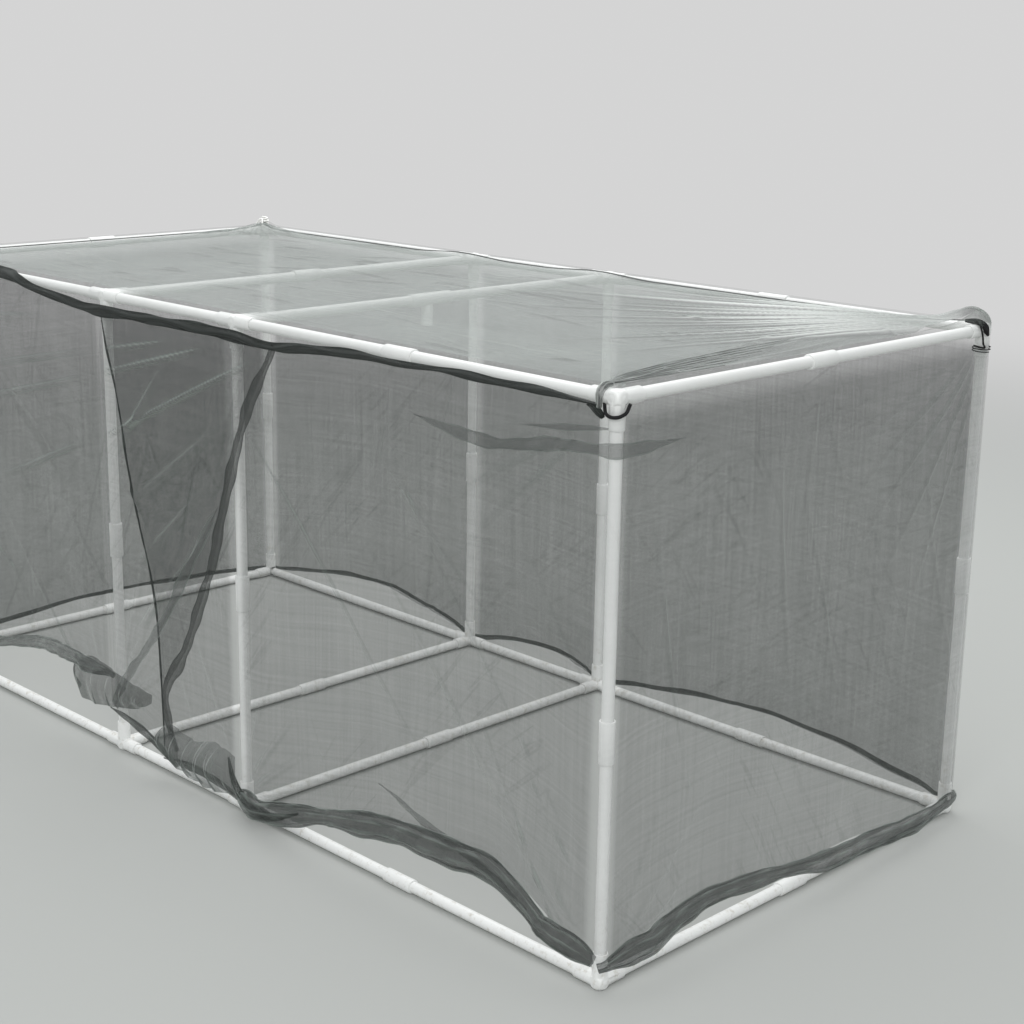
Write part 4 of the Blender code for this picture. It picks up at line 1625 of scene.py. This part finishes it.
        path = [
            (1.70, 0.850), (1.80, 0.838), (1.88, 0.834), (1.95, 0.843), (2.02, 0.855),
            (2.12, 0.8615), (2.15, 0.862), (2.21, 0.861), (2.28, 0.863),
        ]
        short = [(1.94, 0.872), (2.00, 0.879), (2.07, 0.888), (2.12, 0.894)]
        return [
            strip(
                "corner_fold", surface, path, 0.020, 0.0012, material, "frame",
                seed=2, ends=(0.1, 0.02),
            ),
            strip(
                "upper_corner_fold", surface, short, 0.010, 0.0012, material, "frame",
                seed=9, ends=(0.1, 0.4),
            ),
        ]

    @staticmethod
    def left_foot(material):
        """The slack that hangs as a pouch round the foot of the door's left-hand post."""
        x = DOOR_LEFT
        upper = [
            (x - 0.150, 0.172), (x - 0.074, 0.184), (x - 0.005, 0.174), (x + 0.060, 0.164),
            (x + 0.135, 0.158),
        ]
        lower = [
            (x - 0.152, 0.146), (x - 0.138, 0.098), (x - 0.100, 0.080), (x - 0.048, 0.086),
            (x + 0.024, 0.100), (x + 0.087, 0.116), (x + 0.132, 0.140),
        ]
        return veil(
            "left_foot_pouch", upper, lower, bulge=0.020, pleats=5.5, depth=0.0060,
            material=material, body="frame", seed=1.3,
        )

    @staticmethod
    def right_foot(material):
        """The gathers that run down and out from the door's right-hand post to the ground."""
        x = DOOR_RIGHT
        y = FRONT - net_sizes().stand_off
        path = [
            (x - 0.032, y - 0.004, 0.104), (x - 0.014, y - 0.008, 0.070), (x + 0.018, y - 0.010, 0.040),
            (x + 0.070, y - 0.012, 0.024), (x + 0.130, y - 0.010, 0.036), (x + 0.180, y - 0.006, 0.058),
        ]
        radii = (0.0018, 0.0050, 0.0080, 0.0105, 0.0080, 0.0030)
        return bunch(
            "right_foot_gather", path, radii, material,
            count=7, depth=0.28, flat=0.6, seed=15, up=(0, -1, 0),
        )


class CAGE_OT_door_flaps(bpy.types.Operator):
    """Makes the two overlapping flaps between the middle posts."""

    bl_idname = "cage.door_flaps"
    bl_label = "Door flaps"

    # The free edges, and a doubled fold, as (x from the frame's middle, height) points going down
    OUTER_EDGE = [
        (0.280, 0.913), (0.208, 0.783), (0.163, 0.675), (0.122, 0.564), (0.094, 0.481),
        (0.041, 0.371), (-0.006, 0.279), (-0.071, 0.190), (-0.065, 0.119), (-0.040, 0.070),
    ]
    INNER_EDGE = [
        (-0.269, 0.906), (-0.253, 0.838), (-0.230, 0.773), (-0.211, 0.697), (-0.196, 0.620),
        (-0.162, 0.506), (-0.132, 0.420), (-0.112, 0.330), (-0.104, 0.200), (-0.100, 0.060),
    ]
    FOLD = [
        (0.120, 0.600), (0.078, 0.541), (-0.030, 0.388), (-0.114, 0.280), (-0.235, 0.145),
        (-0.258, 0.105),
    ]

    # How many points a flap's grid has across it, and the flaps' mean width
    COLUMNS = 130
    MEAN_WIDTH = 0.35

    def execute(self, context):
        nets = net_materials()
        net, seam, hem = nets["net_front"], nets["net_seam"], nets["net_hem"]
        outer = self.flap("outer_flap", self.OUTER_EDGE, True, net, ["door_flap_outer"])
        inner = self.flap("inner_flap", self.INNER_EDGE, False, net, ["door_flap_inner"])
        outer_edge = strip(
            "outer_flap_edge", self.outer, self.OUTER_EDGE, 0.026, 0.0012, nets["net_edge"],
            "turning", seed=3, ends=(0.6, 0.5),
        )
        inner_edge = strip(
            "inner_flap_edge", self.inner, self.INNER_EDGE, 0.007, 0.0010, seam, "turning", seed=4
        )
        fold = strip(
            "outer_flap_fold", self.outer, self.FOLD, 0.021, 0.0015, nets["net_doubled"], "door",
            seed=5, ends=(0.1, 1.2),
        )
        outer_hem = self.flap_hem("outer_flap_hem", outer, hem, 6)
        inner_hem = self.flap_hem("inner_flap_hem", inner, hem, 7)
        self.foot_heap(nets["net_doubled"])
        return {"FINISHED"}

    @staticmethod
    def outer(x, z, proud=0.0):
        """The outer flap's surface: drawn in tight folds from its top right to the left post's foot."""
        fade = smooth(HIGH - SEAM_DROP - z, 0, 0.10)
        gap = x - DOOR_LEFT
        edge = smooth(gap, 0.0, 0.05)
        below = smooth(HIGH - SEAM_DROP - z, 0, 0.04)
        lines = long_creases(gap, z, DOOR_CREASES, 0.0050, 0.0065) * below
        lines = lines + long_creases(gap, z, SOFT_CREASES, 0.0090, 0.0060) * fade
        foot = fan(x, z, (DOOR_LEFT + 0.01, 0.10), (34, 47, 58, 69), 0.5, 0.009, 0.007)
        folds = lines + foot * fade * smooth(gap, 0.02, 0.10)
        out = net_sizes().stand_off + 0.002 + 0.009 * fade + edge * folds
        return placed(x, FRONT - out - proud, z)

    @staticmethod
    def inner(x, z, proud=0.0):
        """The inner flap's surface: a few soft folds that lean the other way."""
        fade = smooth(HIGH - SEAM_DROP - z, 0, 0.10)
        edge = smooth(DOOR_RIGHT - x, 0.0, 0.05)
        area = (-0.25, 0.12, 0.3, 0.85)
        lines = scattered(
            x, z, 47, 16, area, -1.0, (0.25, 0.6), (0.003, 0.007), (0.001, 0.005)
        )
        out = net_sizes().stand_off + fade * edge * lines * 0.8
        return placed(x, FRONT - out - proud, z)

    def flap(self, name, edge, from_left, material, replaces):
        """A flap as a grid between the post that holds it and its free edge."""
        path = smooth_path(edge, 0.006)
        order = np.argsort(path[:, 1])
        top = HIGH - FLAP_DROP
        rows = 220
        share = np.linspace(0, 1, rows)[:, None]
        foot = 0.030
        z = top + (foot - top) * share
        free = np.interp(z, path[order, 1], path[order, 0])
        fixed = DOOR_LEFT if from_left else DOOR_RIGHT - 0.001
        across = np.linspace(0, 1, self.COLUMNS)[None]
        x = fixed + (free - fixed) * across if from_left else free + (fixed - free) * across
        raised = (0.068, 0.010) if from_left else (0.006, 0.000)
        foot_line = raised[0] + (raised[1] - raised[0]) * across + 0.012 * np.sin(pi * across)
        z = z + foot_line * smooth(share, 0.70, 1.0)
        surface = self.outer if from_left else self.inner
        points = surface(x, z)
        # Steep folds are marked to stop more light and to take the finish's painted sheen.
        dense = steepness(points[..., 1], self.MEAN_WIDTH / self.COLUMNS, top / rows)
        taut = on_post(np.abs(x - fixed))
        return cloth(name, points, material, "turning", replaces, {"dense": dense, "taut": taut})

    @staticmethod
    def flap_hem(name, sheet, material, seed):
        """The rolled hem along a flap's foot, read from the flap's last row."""
        count = len(sheet.data.vertices)
        places = np.empty(3 * count, np.float32)
        sheet.data.vertices.foreach_get("co", places)
        path = places.reshape(count, 3)[-CAGE_OT_door_flaps.COLUMNS:].astype(float)
        path[:, 1] -= 0.004
        run = np.linspace(0, 1, len(path))
        radius = 0.0050 + 0.0025 * np.sin(pi * run) * (1 + 0.3 * np.sin(19 * run + seed))
        radius = radius * (0.3 + 0.7 * smooth(run, 0, 0.25))
        mesh = tube(name, path, radius, material, 28, folds=(5, 0.11, 22.0, seed), flat=0.75)
        return add_piece(mesh, "door")

    @staticmethod
    def foot_heap(material):
        """The slack of the outer flap's foot, spread out beside the right-hand post."""
        x = DOOR_RIGHT
        upper = [
            (x - 0.262, 0.092), (x - 0.225, 0.114), (x - 0.143, 0.104), (x - 0.077, 0.120),
            (x - 0.012, 0.110),
        ]
        lower = [(x - 0.272, 0.062), (x - 0.190, 0.028), (x - 0.100, 0.018), (x - 0.016, 0.030)]
        return veil(
            "right_foot_heap", upper, lower, bulge=0.028, pleats=6.0, depth=0.0075,
            material=material, body="door", seed=2.0,
        )


class CAGE_OT_ties(bpy.types.Operator):
    """Makes the elastic loops, knots and string at the corners."""

    bl_idname = "cage.ties"
    bl_label = "Ties"

    def execute(self, context):
        black = cord_finish("elastic_black", (0.006, 0.006, 0.007), 0.7, 0.0)
        white = cord_finish("string_white", (0.70, 0.70, 0.66), 0.7, 0.2)
        self.near_loop(black)
        self.far_loop(black)
        self.back_tie(white)
        return {"FINISHED"}

    @staticmethod
    def cord(name, path, radius, material, sides=12, up=(0, 0, 1)):
        """A round cord along a path, as a piece."""
        mesh = tube(name, path, radius, material, sides, up=up)
        add_piece(mesh, "frame")

    def near_loop(self, material):
        """An elastic that runs under the near corner's fitting, from one rail to the other.

        It follows the net round the post, and sinks between its two ends.
        """
        share = np.linspace(0, 1, 9)
        angle = np.radians(200 + 188 * share)
        reach = net_sizes().stand_off + 0.0032
        path = placed(
            RIGHT + reach * np.cos(angle), FRONT + reach * np.sin(angle),
            HIGH - 0.012 - 0.014 * np.sin(pi * share) ** 0.8,
        )
        path[0] += (-0.003, 0.0, 0.003)
        path[-1] += (-0.001, 0.003, 0.003)
        self.cord("near_corner_elastic", smooth_path(path, 0.002), 0.0027, material)

    def far_loop(self, material):
        """The gathered tie on the far corner, its elastic and the string on the post below."""
        x, y, z = RIGHT, BACK, HIGH
        out = net_sizes().stand_off
        knot = [
            (x - 0.016, y - 0.036, z + 0.018), (x + 0.002, y - 0.026, z + 0.016),
            (x + 0.013, y - 0.016, z + 0.006), (x + 0.017, y - 0.008, z - 0.008),
        ]
        bunch(
            "far_corner_bunch", knot, (0.003, 0.006, 0.006, 0.002), material,
            count=4, depth=0.2, flat=0.8, seed=21,
        )
        reach = out + 0.0036
        path = [
            (x - 0.004, y - 0.028, z + reach), (x + 0.6 * reach, y - 0.030, z + 0.7 * reach),
            (x + reach, y - 0.030, z - 0.2 * reach), (x + 0.9 * reach, y - 0.022, z - 0.021),
            (x + 0.8 * reach, y - 0.8 * reach, z - 0.030), (x - 0.3 * reach, y - reach, z - 0.028),
        ]
        bent = smooth_path(path, 0.002)
        self.cord("far_corner_elastic", bent, 0.0017, material, up=(0.3, 0.2, 0.1))
        turns = np.linspace(0, 4 * pi, 60)
        winding = placed(
            x + (out + 0.0014) * np.cos(turns), y + (out + 0.0014) * np.sin(turns),
            z - 0.030 - 0.009 * turns / (4 * pi),
        )
        self.cord("far_post_string", winding, 0.0009, material, 8)

    def back_tie(self, material):
        """A white string wound over the back left corner's gathers and knotted, with two ends."""
        x, y, z = LEFT + 0.008, BACK - 0.008, HIGH + 0.012
        turns = np.linspace(0, 7 * pi, 110)
        swell = 0.0085 + 0.0030 * np.sin(turns / 7)
        winding = placed(
            x + swell * np.cos(turns), y + swell * np.sin(turns), z + 0.021 * turns / (7 * pi)
        )
        self.cord("back_corner_string", winding, 0.0019, material, 8)
        ends = [
            (x - 0.012, y - 0.018, z - 0.002), (x - 0.005, y - 0.013, z + 0.012),
            (x + 0.004, y - 0.009, z + 0.018), (x + 0.012, y - 0.014, z + 0.013),
            (x + 0.021, y - 0.021, z - 0.001),
        ]
        self.cord("back_corner_knot", smooth_path(ends, 0.002), 0.0019, material)


class CAGE_OT_stage(bpy.types.Operator):
    """Sets the floor, the lamps and the camera."""

    bl_idname = "cage.stage"
    bl_label = "Stage"

    EYE = (2.7578, -2.3946, 1.4371)
    YAW, PITCH, ROLL = radians(45.05), radians(-14.76), radians(0.94)
    FOCAL_PIXELS = 1810.9
    FRAME_PIXELS = 1024
    FLOOR_REACH = 30

    def execute(self, context):
        sizes = context.scene.cage_stage
        self.floor(sizes)
        self.lamps(context.scene, sizes)
        self.camera(context.scene)
        context.scene.view_settings.view_transform = "Standard"
        return {"FINISHED"}

    def floor(self, sizes):
        """A pale floor that fades to the tone of the background."""
        finish = Finish("floor_finish")
        place = finish.place()
        distance = finish.node("ShaderNodeVectorMath", {"operation": "LENGTH"}, {0: place})
        fade = finish.number(distance.outputs["Value"]).rise(2.2, 6.5)
        path = finish.node("ShaderNodeLightPath")
        seen = finish.number(path.outputs["Is Camera Ray"]).most(
            finish.number(path.outputs["Is Glossy Ray"])
        )
        ground = finish.node(
            "ShaderNodeBsdfDiffuse", {}, {"Color": tuple(sizes.floor_colour), "Roughness": 0.5}
        )
        white = finish.node(
            "ShaderNodeEmission", {}, {"Color": (1, 1, 1), "Strength": sizes.backdrop}
        )
        mixed = finish.node(
            "ShaderNodeMixShader", {}, {0: fade * seen, 1: ground.outputs[0], 2: white.outputs[0]}
        )
        finish.node("ShaderNodeOutputMaterial", {}, {"Surface": mixed.outputs[0]})
        side = np.linspace(-self.FLOOR_REACH, self.FLOOR_REACH, 9)
        x, y = np.meshgrid(side, side)
        mesh = lattice("floor", placed(x, y, 0.0), finish.owner)
        floor = bpy.data.objects.new("floor", mesh)
        bpy.context.scene.collection.objects.link(floor)

    @staticmethod
    def lamps(scene, sizes):
        """Even light from all round with a plain background, and two wide lamps."""
        sky = Finish("sky", "worlds")
        scene.world = sky.owner
        seen = sky.node("ShaderNodeLightPath").outputs["Is Camera Ray"]
        light = sky.node(
            "ShaderNodeBackground", {}, {"Color": (0.97, 0.99, 1.0), "Strength": sizes.sky}
        )
        plain = sky.node(
            "ShaderNodeBackground", {}, {"Color": (1, 1, 1), "Strength": sizes.backdrop}
        )
        mixed = sky.node(
            "ShaderNodeMixShader", {}, {0: seen, 1: light.outputs[0], 2: plain.outputs[0]}
        )
        sky.node("ShaderNodeOutputWorld", {}, {"Surface": mixed.outputs[0]})
        for name, power, size, place in (
            ("overhead", sizes.overhead_power, 3.2, (-0.6, 0.9, 3.6)),
            ("behind_camera", sizes.side_power, 2.4, (3.0, -3.4, 3.0)),
        ):
            lamp = bpy.data.lights.new(name, "AREA")
            lamp.energy = power
            lamp.size = size
            obj = bpy.data.objects.new(name, lamp)
            obj.location = place
            aim = Vector((0, 0, 0.4)) - Vector(place)
            obj.rotation_euler = aim.to_track_quat("-Z", "Y").to_euler()
            scene.collection.objects.link(obj)

    def camera(self, scene):
        """Stands the camera where the photograph's was, from a fit to the frame's corners."""
        lens = bpy.data.cameras.new("camera")
        lens.sensor_width = 36
        lens.lens = 36 * self.FOCAL_PIXELS / self.FRAME_PIXELS
        ahead = Vector((
            -sin(self.YAW) * cos(self.PITCH), cos(self.YAW) * cos(self.PITCH), sin(self.PITCH)
        ))
        right = Vector((cos(self.YAW), sin(self.YAW), 0))
        up = right.cross(ahead)
        across = right * cos(self.ROLL) + up * sin(self.ROLL)
        upward = up * cos(self.ROLL) - right * sin(self.ROLL)
        turn = Matrix((across, upward, -ahead)).transposed()
        obj = bpy.data.objects.new("camera", lens)
        obj.matrix_world = Matrix.Translation(self.EYE) @ turn.to_4x4()
        scene.collection.objects.link(obj)
        scene.camera = obj


class CAGE_PT_panel(bpy.types.Panel):
    """Lists the cage's pieces in the order in which they are made."""

    bl_idname = "CAGE_PT_panel"
    bl_label = "Crop cage"
    bl_space_type = "VIEW_3D"
    bl_region_type = "UI"
    bl_category = "Crop cage"

    def draw(self, context):
        """One button for each step, then one box for each group of sizes."""
        for operator in OPERATORS:
            self.layout.operator(operator.bl_idname)
        for group in GROUPS:
            box = self.layout.box()
            settings = getattr(context.scene, group)
            for name in settings.__annotations__:
                box.prop(settings, name)


GROUPS = {
    "cage_frame": CageFrameSizes,
    "cage_net": CageNetSizes,
    "cage_stage": CageStageSizes,
}
OPERATORS = (
    CAGE_OT_stage,
    CAGE_OT_pipes,
    CAGE_OT_fittings,
    CAGE_OT_top_net,
    CAGE_OT_side_nets,
    CAGE_OT_door_flaps,
    CAGE_OT_ties,
)


def register():
    """Adds the classes, and a group of sizes to the scene for each kind."""
    for group, kind in GROUPS.items():
        bpy.utils.register_class(kind)
        setattr(bpy.types.Scene, group, PointerProperty(type=kind))
    for kind in (*OPERATORS, CAGE_PT_panel):
        bpy.utils.register_class(kind)


def unregister():
    """Takes away what register added."""
    for kind in (CAGE_PT_panel, *reversed(OPERATORS)):
        bpy.utils.unregister_class(kind)
    for group, kind in GROUPS.items():
        delattr(bpy.types.Scene, group)
        bpy.utils.unregister_class(kind)


def main():
    """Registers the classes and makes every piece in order."""
    register()
    for operator in OPERATORS:
        kind, name = operator.bl_idname.split(".")
        getattr(getattr(bpy.ops, kind), name)()


if __name__ == "__main__":
    main()
